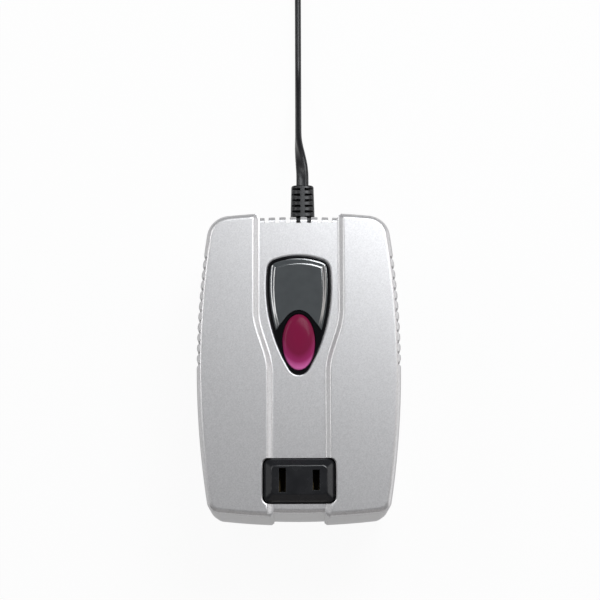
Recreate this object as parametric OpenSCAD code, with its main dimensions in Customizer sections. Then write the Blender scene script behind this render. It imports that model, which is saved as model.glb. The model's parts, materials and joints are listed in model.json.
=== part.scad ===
// Travel voltage converter: a two-lobed case with a shield-shaped badge, a power button,
// an outlet for flat blades, a step-down transformer inside and a flat twin cord.
// The frame: X across, +Y towards the cord, Z up from the table.

/* [Body] */
// Width of the body at its widest
body_w = 78.6; // [76:0.1:90]
// Length of the body
body_l = 118.2; // [116:0.1:140]
// Height of the raised lobes above the table
body_h = 64; // [62:1:80]
// Thickness of the cover's walls
wall = 2.2; // [1.8:0.1:2.6]
// Thickness of the case's floor
floor_t = 2.5; // [2:0.1:3.5]
// Height of the joint between cover and case
split_z = 26; // [24:1:30]
// Radius of the long sides in plan
side_r = 340; // [220:10:600]
// Radius of the ends in plan
end_r = 280; // [220:10:600]
// Radius of the back corners in plan
back_corner_r = 9; // [7:0.5:12]
// Radius of the front corners in plan
front_corner_r = 5; // [5:0.5:10]
// Radius of the rounded top and bottom edges
edge_r = 2.25; // [2:0.25:4]
// How far each wall leans in from the joint to its far edge
draft = 0.4; // [0.2:0.1:0.8]
// Height of the lip that keys the case into the cover
lip_h = 2; // [1:0.5:3]
// Thickness of that lip
lip_t = 1.1; // [0.8:0.1:1.5]

/* [Channel] */
// How far the channel lies below the lobes
channel_depth = 1.4; // [0.8:0.1:2]
// Width of the channel's floor at the badge
channel_wide = 31; // [28:0.1:34]
// Width of the channel's floor at the outlet
channel_narrow = 20.4; // [16:0.1:24]
// Width in plan of the sloped wall beside the channel
channel_slope_w = 1.8; // [1:0.1:3]
// How far the channel steps in at both ends of the body
channel_step = 1.5; // [0.8:0.1:2]
// Where the channel starts to widen
curve_front = -3.5; // [-6:0.5:2]
// Where the channel reaches its full width
curve_back = 20.5; // [18:0.5:28]

/* [Vents] */
// Width of a vent slot
vent_slot = 1.7; // [1.2:0.1:2.2]
// Distance from slot to slot
vent_pitch = 4.1; // [3.5:0.05:4.4]
// Number of slots in each side
side_vents = 11; // [6:1:12]
// Number of slots in the back
back_vents = 7; // [4:1:7]
// Height of the slots below the top edge
vent_h = 30; // [20:1:32]
// Middle of the row of side slots
side_vent_y = 20.2; // [18:0.2:24]
// How far a slot opens past the inner wall
vent_through = 0.5; // [0.3:0.1:0.8]
// Depth of the groove that runs on from a side slot over the rim
vent_groove = 1.7; // [1.4:0.1:2]

/* [Badge] */
// Width of the badge frame
badge_w = 24.9; // [22:0.1:26]
// Back end of the badge frame
badge_back = 41.7; // [40:0.1:46]
// Where the badge frame is widest
badge_wide_y = 29.7; // [28:0.1:33]
// Width of the badge frame in front of the button
badge_front_rim = 1.6; // [1:0.1:2]
// Radius of the badge frame's back edge
badge_back_r = 27; // [24:1:40]
// Radius of the badge frame's rounded corners
badge_round = 4.3; // [3:0.1:5]
// Width of the border round the window
badge_border = 1.3; // [1:0.1:2]
// How deep the badge frame sits in the cover
badge_sink = 1.2; // [0.8:0.1:1.4]
// How far the badge frame stands above the channel
badge_rise = 0.7; // [0.4:0.1:1]
// Thickness of the plate behind the window
label_t = 0.3; // [0.2:0.1:0.5]
// Thickness of the window
window_t = 1.2; // [0.8:0.1:1.6]
// Front edge of the window
window_front = 12.6; // [10:0.1:16]
// Radius of the badge frame's fixing pins
badge_pin_r = 1; // [0.8:0.1:1.2]

/* [Button] */
// Width of the oval button
button_w = 12.4; // [10:0.1:13]
// Length of the oval button
button_l = 21.6; // [18:0.1:23]
// Middle of the button
button_y = 7.9; // [6:0.1:10]
// Width of the black ring round the button
button_ring = 1.6; // [1.2:0.1:2]
// Height of the button's dome above the badge frame
button_dome = 1.5; // [0.8:0.1:2]
// How far the button travels
button_travel = 1.8; // [1:0.1:2.2]
// Radius of the switch plunger
plunger_r = 2; // [1.5:0.1:2.4]
// Side of the square switch body
switch_w = 9; // [8:0.5:11]
// Height of the switch body
switch_h = 7; // [6.5:0.5:8]
// Thickness of the switch board
board_t = 1.6; // [1:0.1:2]
// Length of the switch board across the body
board_w = 30; // [29:1:34]
// Depth of the switch board along the body
board_l = 18; // [16:1:22]
// Radius of the pilot lamp
lamp_r = 1.5; // [1:0.1:2]

/* [Outlet] */
// Width of the outlet block
outlet_w = 26.9; // [25:0.1:30]
// Length of the outlet block
outlet_l = 16.8; // [15:0.1:18]
// Distance from the front end to the outlet's middle
outlet_in = 14.4; // [13.5:0.1:17]
// Height of the outlet face above the lobes
outlet_rise = 1.4; // [0.8:0.1:2.5]
// Height of the bevel round the outlet face
outlet_bevel_h = 2.4; // [1.5:0.1:3]
// Width of the bevel round the outlet face
outlet_bevel = 2.9; // [2:0.1:3.5]
// Depth of the outlet block
outlet_depth = 19; // [17:0.5:20]
// Corner radius of the outlet block
outlet_round = 2.6; // [1.5:0.1:4]
// Distance between the two slots
slot_pitch = 12.7; // [12.5:0.1:13]
// Width of a slot
slot_w = 2.6; // [2.4:0.1:3]
// Length of the neutral slot
slot_neutral = 9; // [8.2:0.1:9.4]
// Length of the live slot
slot_live = 7.6; // [6.8:0.1:8]
// Thickness of the outlet back plate
outlet_plate_t = 2; // [1.5:0.1:3]

/* [Transformer] */
// Width of one lamination leg
core_leg_w = 7.5; // [6.5:0.1:7.8]
// Distance from the front end to the winding
coil_in = 31.6; // [30:0.2:35]
// Space between the bracket and the switch board's screws
core_room_h = 3.7; // [2:0.1:6]
// Thickness of the mounting bracket
bracket_t = 1; // [0.8:0.1:1.5]
// Width of the bracket's strap
bracket_l = 30; // [20:1:36]
// Thickness of the bobbin
bobbin_t = 0.8; // [0.6:0.1:1]
// Thickness of the winding tape
tape_t = 0.4; // [0.2:0.1:0.5]

/* [Selector] */
// How far the selector slides
selector_travel = 4; // [3:0.5:5]
// Length of the selector's knob
knob_w = 5; // [4:0.5:6]
// Width of the selector's knob
knob_l = 4.4; // [4:0.2:5]
// Distance from the front end to the selector's middle
selector_in = 15; // [14:0.5:17]
// Height of the selector body
selector_h = 8; // [7:0.5:10]

/* [Terminals] */
// Depth of the terminal block
terminal_l = 9; // [8:0.5:10]
// Height of the terminal block
terminal_h = 10; // [8:0.5:11]
// Distance from the back end to the terminal block's middle
terminal_in = 18.5; // [18:0.5:20]
// Length of the leads from the winding to the terminals
supply_l = 4.6; // [3:0.2:8]
// Length of the fuse
fuse_l = 20; // [18:1:22]
// Radius of the fuse
fuse_r = 2.6; // [2.2:0.1:3]
// Radius of an insulated lead
lead_r = 1.1; // [0.8:0.1:1.2]

/* [Fasteners and feet] */
// Radius of a case screw's shank
screw_r = 1.45; // [1.2:0.05:1.7]
// Radius of a case screw's head
screw_head_r = 2.8; // [2.4:0.1:3]
// Length of a case screw's shank
screw_l = 20; // [16:1:24]
// Radius of a rubber foot
foot_r = 4.5; // [3.5:0.25:5]
// Height of the feet below the case
foot_h = 2; // [1:0.25:3]
// Radius of the small screws inside
small_screw_r = 1; // [0.8:0.05:1.2]

/* [Cord] */
// Width of the flat cord
cord_w = 5; // [4.4:0.1:5.2]
// Thickness of the flat cord
cord_t = 2.6; // [2.2:0.1:2.8]
// How far the cord leaves beside the middle
cord_x = 1.7; // [0:0.1:2]
// Radius of the strain relief at the case
relief_r = 4.8; // [4:0.1:5.5]
// Radius of the strain relief at its free end
relief_tip_r = 4.3; // [3.6:0.1:4.8]
// Length of the strain relief behind the case
relief_l = 19.8; // [12:0.1:24]
// Number of ribs on the strain relief
relief_ribs = 9; // [5:1:10]
// Outer radius of the coil, at the cord's middle
coil_r = 29.5; // [27:0.5:34]
// Distance from turn to turn in the coil
coil_pitch = 3.2; // [3.1:0.05:3.6]
// Number of turns in the coil
coil_turns = 5; // [3:2:7]
// Width of the plug
plug_w = 22; // [20:1:26]
// Length of the plug's body
plug_l = 22; // [18:1:28]

/* [Hidden] */
$fn = 48;

// Steps round the plan outline and the rounded edges
corner_steps = 8;
end_steps = 10;
side_steps = 14;
edge_steps = 5;
curve_steps = 12;
// Overlap of a cut past the face it opens, and of joined solids
cut = 1;
weld = 0.5;
// Clearances: pieces that slide, pieces that are pushed together, bores round shanks
slide_gap = 0.25;
seat_gap = 0.15;
bore_gap = 0.05;

// Heights of the case and the cover
base_z = foot_h;
floor_z = base_z + floor_t;
channel_z = body_h - channel_depth;
cover_in = channel_z - wall;
// Where a slot stops going through the wall, below the inside of the cover's top
vent_roof = 3;
core_l = body_l - 2 * channel_step;
back_wall_y = core_l / 2;
case_wall = wall + seat_gap + lip_t;

// Case screws and feet, set in from the sides and the ends
boss_in = [11.5, 13];
boss_x = body_w / 2 - boss_in.x;
boss_y = body_l / 2 - boss_in.y;
boss_wall = 2;
boss_r = screw_r + boss_wall;
column_wall = 1.4;
column_r = screw_head_r + column_wall;
head_h = 2;
head_room = 0.3;
shank_room = 0.2;
head_depth = 8;
head_seat_z = split_z - head_depth;
foot_in = [11, 26];
foot_x = body_w / 2 - foot_in.x;
foot_y = body_l / 2 - foot_in.y;
foot_seat = 1;
foot_chamfer = 0.4;

// Small screws and the bosses they go into
small_head_r = small_screw_r + 0.9;
small_head_h = 1.4;
small_screw_l = 7;
small_boss_r = small_screw_r + 1.4;

// Badge, window and button, stacked down from the channel
badge_z = channel_z - badge_sink;
badge_top = channel_z + badge_rise;
badge_plate_t = 0.8;
badge_pin_x = 6.5;
badge_front = button_y - button_l / 2 - badge_front_rim;
badge_reach = badge_wide_y - badge_front - badge_round;
badge_side_r = (pow(badge_reach, 2) / (badge_w / 2 - badge_round) + badge_w / 2 + badge_round) / 2;
window_corner_x = sqrt(pow(badge_side_r - badge_border, 2) - pow(badge_wide_y - window_front, 2))
    + badge_w / 2 - badge_side_r;
badge_pin_end = 0.6;
badge_pin_l = channel_z - cover_in - badge_sink + badge_pin_end;
window_z = badge_z + badge_plate_t + label_t;
flange_t = 1;
flange_w = 0.9;
flange_room = 0.6;
flange_gap = 0.2;
flange_top = badge_z - flange_gap;
cap_under = flange_top - flange_t;
press_room = 0.6;
switch_top = cap_under - button_travel - press_room;
switch_z = switch_top - switch_h;
switch_base = 1;
board_z = switch_z - board_t;
board_edge = 3.5;
board_hole_x = board_w / 2 - board_edge;
plunger_room = 0.7;
plunger_z = switch_z + switch_base + button_travel + plunger_room;
lamp_h = 4.5;
lamp_gap = 0.8;
lamp_y = switch_w / 2 + lamp_gap + lamp_r;

// Outlet block, its plate and its contacts
outlet_y = outlet_in - body_l / 2;
outlet_top = body_h + outlet_rise;
outlet_z = outlet_top - outlet_depth;
outlet_plate_z = outlet_z - outlet_plate_t;
shoulder = 0.9;
touch_gap = 0.1;
shoulder_z = cover_in - touch_gap;
outlet_boss_gap = 1.8;
outlet_boss_x = outlet_w / 2 + shoulder + outlet_boss_gap + small_boss_r;
outlet_plate_w = 2 * (outlet_boss_x + small_boss_r + 1);
outlet_face_t = 9;
contact_t = 0.4;
contact_top = outlet_top - outlet_face_t;
contact_side = 0.6;
tail_w = 4;
tail_t = 0.8;
tail_l = 3;

// Transformer on two ribs, between the outlet end and the terminals, under the switch board
terminal_y = body_l / 2 - terminal_in;
coil_front_y = coil_in - body_l / 2;
coil_back_y = terminal_y - terminal_l / 2 - supply_l;
core_y = (coil_front_y + coil_back_y) / 2;
coil_end_y = (coil_back_y - coil_front_y) / 2;
core_stack = 2 * (coil_end_y - core_leg_w + seat_gap);
core_w = 6 * core_leg_w;
core_rib = 1;
core_z = floor_z + core_rib;
bracket_top = board_z - small_head_h - core_room_h - bracket_t;
core_h = bracket_top - touch_gap - core_z;
window_low = core_z + core_leg_w;
window_high = core_z + core_h - core_leg_w;
coil_side_x = 2 * core_leg_w - seat_gap;
bracket_x = core_w / 2 + seat_gap;
bracket_foot = 10;
bracket_boss_h = 4;
bracket_foot_z = floor_z + bracket_boss_h;
bracket_hole_x = bracket_x + bracket_t + bracket_foot / 2;
bracket_foot_l = 14;
bracket_boss_r = small_screw_r + 2;
core_rib_w = 4;
cutout_size = [10, 3.5, 6];
cutout_z = (window_low + window_high - cutout_size.z) / 2;
lead_up = 6;
lead_under = 2;

// Terminal block on two posts, with the fuse on top
terminal_z = split_z - terminal_h / 2;
lead_gap = 0.3;
switch_lead_x = fuse_l / 2 + 2 * lead_gap + lead_r;
post_x = switch_lead_x + lead_r + lead_gap + small_head_r;
post_w = 4;
terminal_w = 2 * post_x + post_w;
fuse_clip_x = fuse_l / 2 - 2;
fuse_clip_w = 3;
fuse_clip_t = 0.5;
fuse_clip_h = 1.6 * fuse_r;
fuse_z = terminal_z + terminal_h + fuse_clip_t + fuse_r + touch_gap;
supply_x = 6;
lead_bend = 5;

// Selector under the outlet
selector_y = selector_in - body_l / 2;
carriage_w = knob_w + 3;
carriage_l = knob_l + 2.6;
carriage_t = 1.5;
carriage_gap = 0.2;
carriage_z = floor_z + carriage_gap;
knob_sink = 0.3;
knob_z = base_z + knob_sink;
groove = 0.6;
groove_pitch = 1.4;
selector_wall = 2;
selector_ear = 6;
selector_ear_t = 3;
selector_block_w = carriage_w + selector_travel + 2 * slide_gap + 2 * selector_wall;
selector_l = carriage_l + 2 * slide_gap + 2 * selector_wall;
selector_w = selector_block_w + 2 * selector_ear;
selector_ear_x = selector_block_w / 2 + selector_ear / 2;
selector_room = carriage_t + 2 * carriage_gap;
selector_lead_x = 4;
selector_bend = 2;

// Strain relief through the back wall, at the joint
neck_r = 3.6;
relief_flange_r = 5.2;
relief_flange_t = 2.6;
relief_spine = 1.7;
relief_rib_t = 1.2;
relief_core = 0.7;
relief_stub = 6.3;
relief_end_y = back_wall_y + relief_l;
relief_inner_y = back_wall_y - wall - relief_stub;
core_gap_x = 1.3;

// Free stretch of the cord: from the strain relief down to the table and on to the coil
run_l = 118;
run_steps = 16;
straight_l = 4;
cord_drift = 1.6;
drift_l = 18;
fall_l = 54;
tie_t = 0.7;
tie_gap = 0.2;
lay_z = tie_t + tie_gap + cord_w / 2;
cord_sides = 8;
twist_done = 9;

// Coil on its tie: turns stand on edge, in two layers
coil_start = [cord_x - cord_drift, relief_end_y + straight_l + run_l, lay_z];
coil_lead = cord_w;
coil_centre = [coil_start.x - coil_r, coil_start.y + coil_lead];
layer_gap = 0.6;
coil_layer = cord_w + layer_gap;
coil_z = coil_start.z;
coil_rings = 24;
coil_sides = 6;
coil_tail = 20;
tie_w = 4;

// Plug beside the coil
plug_z = coil_z + coil_layer;
plug_h = 2 * plug_z;
plug_y = coil_centre.y + coil_tail;
plug_boot_l = 12;
plug_boot = [1.2, 3];
plug_round = 3;
blade_w = 6.3;
blade_t = 1.5;
blade_l = 17;
blade_hole_r = 1.5;
blade_hole_in = 4;

// Colours
silver = [0.76, 0.76, 0.78];
black = [0.06, 0.06, 0.07];
smoke = [0.32, 0.34, 0.35];
magenta = [0.72, 0.06, 0.30];
steel = [0.62, 0.63, 0.65];
brass = [0.80, 0.62, 0.28];
copper = [0.72, 0.40, 0.20];
cream = [0.88, 0.84, 0.72];
green = [0.10, 0.36, 0.20];

// Functions for outlines, lofts and tubes

function unit(v) = v / norm(v);
function turn(c, r, a) = c + r * [cos(a), sin(a)];
function smooth(t) = let (c = min(max(t, 0), 1)) c * c * (3 - 2 * c);
function side_c(w) = side_r - w / 2;
function end_c(l) = end_r - l / 2;

// Centre of a corner arc of radius r that touches the side arc and the end arc
function corner_centre(w, l, r) =
    let (
        s = side_c(w),
        e = end_c(l),
        d = norm([s, e]),
        rs = side_r - r,
        re = end_r - r,
        along = (rs * rs - re * re + d * d) / (2 * d),
        across = sqrt(rs * rs - along * along)
    )
    [-s + (along * s + across * e) / d, (across * s - along * e) / d];
function side_angle(w, c) = atan2(c.y, c.x + side_c(w));

// Back half of the plan outline, moved in by inset, and the side that leads to the next corner
function half_outline(w, l, r, next_r, inset) =
    let (
        c = corner_centre(w, l, r),
        a0 = side_angle(w, c),
        a1 = atan2(c.y + end_c(l), c.x),
        next_a = side_angle(w, corner_centre(w, l, next_r)),
        corner = [
            for (i = [0 : corner_steps])
                turn(c, r - inset, a0 + (a1 - a0) * i / corner_steps)
        ],
        back = [
            for (i = [1 : end_steps - 1])
                turn([0, -end_c(l)], end_r - inset, a1 + (180 - 2 * a1) * i / end_steps)
        ],
        side = [
            for (i = [1 : side_steps - 1])
                turn([side_c(w), 0], side_r - inset, 180 - a0 + (a0 + next_a) * i / side_steps)
        ],
        mirrored = [for (i = [corner_steps : -1 : 0]) [-corner[i].x, corner[i].y]]
    )
    concat(corner, back, mirrored, side);

function outline(w, l, inset) =
    concat(
        half_outline(w, l, back_corner_r, front_corner_r, inset),
        [for (p = half_outline(w, l, front_corner_r, back_corner_r, inset)) -p]
    );

function ring(l, inset, z) = [for (p = outline(body_w, l, inset)) [p.x, p.y, z]];
function side_edge(y) = sqrt(side_r * side_r - y * y) - side_c(body_w);
function channel_half(y) =
    channel_narrow / 2
    + (channel_wide - channel_narrow) / 2 * smooth((y - curve_front) / (curve_back - curve_front));

// One ring of a flat tube: w along the side vector turned by twist, t across it
function tube_ring(p, head, side, w, t, twist, n) =
    let (
        up = cross(side, head),
        a = cos(twist) * side + sin(twist) * up,
        b = cos(twist) * up - sin(twist) * side
    )
    [for (k = [0 : n - 1]) p + cos(360 * k / n) * w / 2 * a - sin(360 * k / n) * t / 2 * b];

function heading(path, i) = unit(path[min(i + 1, len(path) - 1)] - path[max(i - 1, 0)]);
function level_side(head) = unit(cross(head, [0, 0, 1]));

// Points of a lead in a plane across X: straight, one round bend, straight
function bent_path(start, corner, end, r) =
    let (
        into = unit(corner - start),
        out = unit(end - corner),
        c = corner - r * into + r * out
    )
    concat(
        [start],
        [for (i = [0 : 4]) c - r * out * cos(90 * i / 4) + r * into * sin(90 * i / 4)],
        [end]
    );

// Shared shapes

module loft(rings) {
    n = len(rings[0]);
    m = len(rings);
    polyhedron(
        points = [for (r = rings) each r],
        faces = concat(
            [[for (i = [0 : n - 1]) i]],
            [
                for (j = [0 : m - 2], i = [0 : n - 1])
                    each [
                        [j * n + i, (j + 1) * n + i, (j + 1) * n + (i + 1) % n],
                        [j * n + i, (j + 1) * n + (i + 1) % n, j * n + (i + 1) % n]
                    ]
            ],
            [[for (i = [n - 1 : -1 : 0]) (m - 1) * n + i]]
        )
    );
}

module tube(path, side, r) {
    loft([for (i = [0 : len(path) - 1]) tube_ring(path[i], heading(path, i), side, 2 * r, 2 * r, 0, 8)]);
}

module round_rect(w, l, r) {
    offset(r = r) square([w - 2 * r, l - 2 * r], center = true);
}

module block(size, centre, z) {
    translate([centre.x - size.x / 2, centre.y - size.y / 2, z]) cube(size);
}

module column(x, y, z0, z1, r) {
    translate([x, y, z0]) cylinder(h = z1 - z0, r = r);
}

module along_y(x, y0, y1, z, r0, r1) {
    translate([x, y0, z]) rotate([-90, 0, 0]) cylinder(h = y1 - y0, r1 = r0, r2 = r1);
}

module corners(x, y) {
    for (sx = [-1, 1], sy = [-1, 1]) translate([sx * x, sy * y, 0]) children();
}

// A screw that points up, with its head's seat at z = 0
module screw_up(r, l, head_r, h) {
    cylinder(h = l, r = r);
    translate([0, 0, -h]) cylinder(h = h, r = head_r);
}

// Outer forms of the case

module cover_form(l, top) {
    loft(concat(
        [ring(l, 0, split_z)],
        [
            for (i = [0 : edge_steps])
                let (a = 90 * i / edge_steps)
                ring(l, draft + edge_r * (1 - cos(a)), top - edge_r + edge_r * sin(a))
        ]
    ));
}

module case_form(l) {
    loft(concat(
        [
            for (i = [edge_steps : -1 : 0])
                let (a = 90 * i / edge_steps)
                ring(l, draft + edge_r * (1 - cos(a)), base_z + edge_r - edge_r * sin(a))
        ],
        [ring(l, 0, split_z)]
    ));
}

// Space between the two lobes: its walls slope upwards, and slant outwards past the ends of its floor
module channel_space() {
    low = base_z - cut;
    high = body_h + cut;
    flare = channel_slope_w * (high - channel_z) / channel_depth;
    stations = concat(
        [-body_l / 2 - cut, -back_wall_y],
        [for (i = [0 : curve_steps]) curve_front + (curve_back - curve_front) * i / curve_steps],
        [back_wall_y, body_l / 2 + cut]
    );
    loft([
        for (y = stations)
            let (f = channel_half(y) + channel_slope_w * max(abs(y) - back_wall_y, 0) / channel_step)
            [
                [-f, y, channel_z], [-f - flare, y, high], [f + flare, y, high],
                [f, y, channel_z], [f, y, low], [-f, y, low]
            ]
    ]);
}

module channel_band() {
    half = channel_wide / 2 + channel_slope_w + 2;
    translate([-half, -body_l, 0]) cube([2 * half, 2 * body_l, 2 * body_h]);
}

// Badge outlines

module badge_outline(grow) {
    offset(r = grow + badge_round) offset(delta = -badge_round) intersection() {
        translate([badge_w / 2 - badge_side_r, badge_wide_y]) circle(badge_side_r, $fn = 180);
        translate([badge_side_r - badge_w / 2, badge_wide_y]) circle(badge_side_r, $fn = 180);
        translate([0, badge_back - badge_back_r]) circle(badge_back_r, $fn = 180);
    }
}

module oval(grow) {
    translate([0, button_y]) offset(r = grow) scale([button_w / button_l, 1]) circle(d = button_l);
}

// The window ends in two points beside the button, with an arch between them
module window_outline(grow) {
    difference() {
        intersection() {
            badge_outline(grow - badge_border);
            translate([-badge_w, window_front - grow]) square([2 * badge_w, badge_back]);
        }
        hull() {
            oval(button_ring - grow);
            translate([-window_corner_x, window_front - grow - cut]) square([2 * window_corner_x, cut]);
        }
    }
}

// Case

module upper_cover() {
    color(silver) difference() {
        union() {
            difference() {
                cover_form(body_l, body_h);
                channel_space();
            }
            intersection() {
                cover_form(core_l, channel_z);
                channel_band();
            }
        }
        difference() {
            loft([ring(core_l, wall, split_z - cut), ring(core_l, wall + draft, cover_in)]);
            corners(boss_x, boss_y) column(0, 0, split_z, body_h, boss_r);
            for (s = [-1, 1]) {
                column(s * board_hole_x, button_y, board_z + board_t, body_h, small_boss_r);
                column(s * outlet_boss_x, outlet_y, outlet_z, body_h, small_boss_r);
            }
        }
        corners(boss_x, boss_y) column(0, 0, split_z - cut, head_seat_z + screw_l + cut, screw_r + bore_gap);
        for (s = [-1, 1]) {
            column(s * board_hole_x, button_y, board_z, board_z + small_screw_l + cut,
                small_screw_r + bore_gap);
            column(s * outlet_boss_x, outlet_y, outlet_z - cut, outlet_plate_z + small_screw_l + cut,
                small_screw_r + bore_gap);
            column(s * badge_pin_x, badge_wide_y, cover_in - cut, body_h, badge_pin_r + bore_gap);
        }
        translate([0, 0, badge_z]) linear_extrude(body_h) badge_outline(seat_gap);
        translate([0, 0, cover_in - cut]) linear_extrude(body_h) oval(flange_w + flange_room);
        translate([0, outlet_y, cover_in - cut]) linear_extrude(body_h)
            round_rect(outlet_w + 2 * seat_gap, outlet_l + 2 * seat_gap, outlet_round);
        side_slots();
        back_slots();
        relief_bore();
    }
}

// Each slot goes through the wall, and runs out over the rounded rim as a shallow groove
module side_slots() {
    low = body_h - vent_h;
    for (s = [-1, 1], i = [0 : side_vents - 1])
        let (y = side_vent_y + (i - (side_vents - 1) / 2) * vent_pitch, x = side_edge(y)) {
            side_slot(s, x, y, wall + draft + vent_through, low, cover_in - vent_roof);
            side_slot(s, x, y, vent_groove, low, body_h + cut);
        }
}

module side_slot(s, x, y, depth, low, high) {
    translate([s > 0 ? x - depth : -x - cut, y - vent_slot / 2, low])
        cube([depth + cut, vent_slot, high - low]);
}

module back_slots() {
    depth = wall + draft + vent_through;
    for (i = [0 : back_vents - 1])
        let (x = (i - (back_vents - 1) / 2) * vent_pitch)
        translate([x - vent_slot / 2, back_wall_y - depth, body_h - vent_h])
            cube([vent_slot, depth + channel_step + cut, vent_h + cut]);
}

module relief_bore() {
    r = neck_r + seat_gap;
    along_y(cord_x, back_wall_y - wall - cut, body_l / 2 + cut, split_z, r, r);
}

module lower_case() {
    color(silver) difference() {
        union() {
            difference() {
                case_form(body_l);
                channel_space();
            }
            intersection() {
                case_form(core_l);
                channel_band();
            }
            loft([
                ring(core_l, wall + seat_gap, split_z - edge_r),
                ring(core_l, wall + seat_gap, split_z + lip_h)
            ]);
        }
        difference() {
            loft([ring(core_l, case_wall + draft, floor_z), ring(core_l, case_wall, split_z + lip_h + cut)]);
            corners(boss_x, boss_y) column(0, 0, base_z, split_z, column_r);
            case_fittings();
        }
        corners(boss_x, boss_y) {
            column(0, 0, base_z - cut, head_seat_z, screw_head_r + head_room);
            column(0, 0, base_z, split_z + lip_h + cut, screw_r + shank_room);
            column(0, 0, split_z, split_z + lip_h + cut, boss_r + head_room);
        }
        corners(foot_x, foot_y) column(0, 0, base_z - cut, base_z + foot_seat, foot_r + bore_gap);
        for (s = [-1, 1]) {
            column(s * bracket_hole_x, core_y, floor_z, body_h, small_screw_r + bore_gap);
            column(s * post_x, terminal_y, terminal_z - small_screw_l, body_h, small_screw_r + bore_gap);
            column(s * selector_ear_x, selector_y, floor_z, body_h, small_screw_r + bore_gap);
        }
        block([knob_w + selector_travel + 2 * slide_gap, knob_l + 2 * slide_gap, floor_z + cut],
            [0, selector_y], 0);
        relief_bore();
        along_y(cord_x, relief_inner_y - cut, back_wall_y - wall, split_z,
            relief_flange_r + head_room, relief_flange_r + head_room);
    }
}

// Ribs, bosses and posts that stand on the floor of the case
module case_fittings() {
    for (s = [-1, 1]) {
        column(s * bracket_hole_x, core_y, base_z, bracket_foot_z, bracket_boss_r);
        block([post_w, terminal_l, terminal_z - base_z], [s * post_x, terminal_y], base_z);
        block([core_w - core_rib_w, core_rib_w, core_z - base_z], [0, core_y + s * core_stack / 3], base_z);
        column(s * selector_ear_x, selector_y, base_z, floor_z + selector_h - selector_ear_t, small_boss_r);
    }
}

module case_screws() {
    color(steel) corners(boss_x, boss_y)
        translate([0, 0, head_seat_z]) screw_up(screw_r, screw_l, screw_head_r, head_h);
}

module rubber_feet() {
    color(black) corners(foot_x, foot_y) {
        cylinder(h = foot_chamfer, r1 = foot_r - foot_chamfer, r2 = foot_r);
        column(0, 0, foot_chamfer, base_z + foot_seat, foot_r);
    }
}

// Badge

module badge_frame() {
    color(black) difference() {
        union() {
            translate([0, 0, badge_z]) linear_extrude(badge_top - badge_z) badge_outline(0);
            for (s = [-1, 1])
                column(s * badge_pin_x, badge_wide_y, badge_z - badge_pin_l, badge_z + weld, badge_pin_r);
        }
        translate([0, 0, badge_z + badge_plate_t]) linear_extrude(body_h) window_outline(seat_gap);
        translate([0, 0, badge_z - cut]) linear_extrude(body_h) oval(slide_gap);
    }
}

module label_plate() {
    color(smoke) translate([0, 0, badge_z + badge_plate_t]) linear_extrude(label_t) window_outline(0);
}

module display_window() {
    color(smoke) translate([0, 0, window_z]) linear_extrude(window_t) window_outline(0);
}

// Button and its switch

module power_button() {
    color(magenta) {
        translate([0, 0, cap_under]) linear_extrude(flange_t) oval(flange_w);
        translate([0, 0, cap_under]) linear_extrude(badge_top - cap_under) oval(0);
        intersection() {
            translate([0, button_y, badge_top]) scale([button_w / 2, button_l / 2, button_dome]) sphere(1);
            translate([-button_w, button_y - button_l, badge_top - weld])
                cube([2 * button_w, 2 * button_l, button_dome + cut]);
        }
    }
}

module switch_plunger() {
    color(cream) column(0, button_y, plunger_z, cap_under, plunger_r);
}

module switch_body() {
    color(black) difference() {
        block([switch_w, switch_w, switch_h], [0, button_y], switch_z);
        column(0, button_y, plunger_z - button_travel - plunger_room, switch_top + cut, plunger_r + bore_gap);
    }
}

module pilot_lamp() {
    color("orange") {
        column(0, button_y + lamp_y, switch_z, switch_z + lamp_h, lamp_r);
        translate([0, button_y + lamp_y, switch_z + lamp_h]) sphere(lamp_r);
    }
}

module switch_board() {
    color(green) difference() {
        block([board_w, board_l, board_t], [0, button_y], board_z);
        for (s = [-1, 1])
            column(s * board_hole_x, button_y, board_z - cut, board_z + board_t + cut,
                small_screw_r + shank_room);
    }
}

module board_screws() {
    color(steel) for (s = [-1, 1])
        translate([s * board_hole_x, button_y, board_z])
            screw_up(small_screw_r, small_screw_l, small_head_r, small_head_h);
}

// Outlet

module outlet_housing() {
    color(black) difference() {
        union() {
            translate([0, outlet_y, outlet_z])
                linear_extrude(shoulder_z - outlet_z)
                    round_rect(outlet_w + 2 * shoulder, outlet_l, outlet_round);
            translate([0, outlet_y, shoulder_z - weld])
                linear_extrude(outlet_top - outlet_bevel_h - shoulder_z + weld)
                    round_rect(outlet_w, outlet_l, outlet_round);
            hull() {
                translate([0, outlet_y, outlet_top - outlet_bevel_h - weld])
                    linear_extrude(weld) round_rect(outlet_w, outlet_l, outlet_round);
                translate([0, outlet_y, outlet_top - weld]) linear_extrude(weld)
                    round_rect(outlet_w - 2 * outlet_bevel, outlet_l - 2 * outlet_bevel, outlet_round / 2);
            }
        }
        block([slot_w, slot_neutral, outlet_depth + 2 * cut], [-slot_pitch / 2, outlet_y], outlet_z - cut);
        block([slot_w, slot_live, outlet_depth + 2 * cut], [slot_pitch / 2, outlet_y], outlet_z - cut);
    }
}

// Two spring leaves, a bridge between them and a tail through the back plate
module contact(x, l) {
    leaf_l = l - 2 * contact_side;
    color(brass) translate([x, outlet_y, 0]) {
        for (s = [-1, 1])
            block([contact_t, leaf_l, contact_top - outlet_z],
                [s * (slot_w / 2 - contact_t / 2 - bore_gap), 0], outlet_z);
        block([slot_w - 2 * bore_gap, leaf_l, tail_t], [0, 0], outlet_z);
        block([tail_t, tail_w, tail_l + outlet_plate_t + weld], [0, 0], outlet_plate_z - tail_l);
    }
}

module neutral_contact() {
    contact(-slot_pitch / 2, slot_neutral);
}

module live_contact() {
    contact(slot_pitch / 2, slot_live);
}

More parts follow.
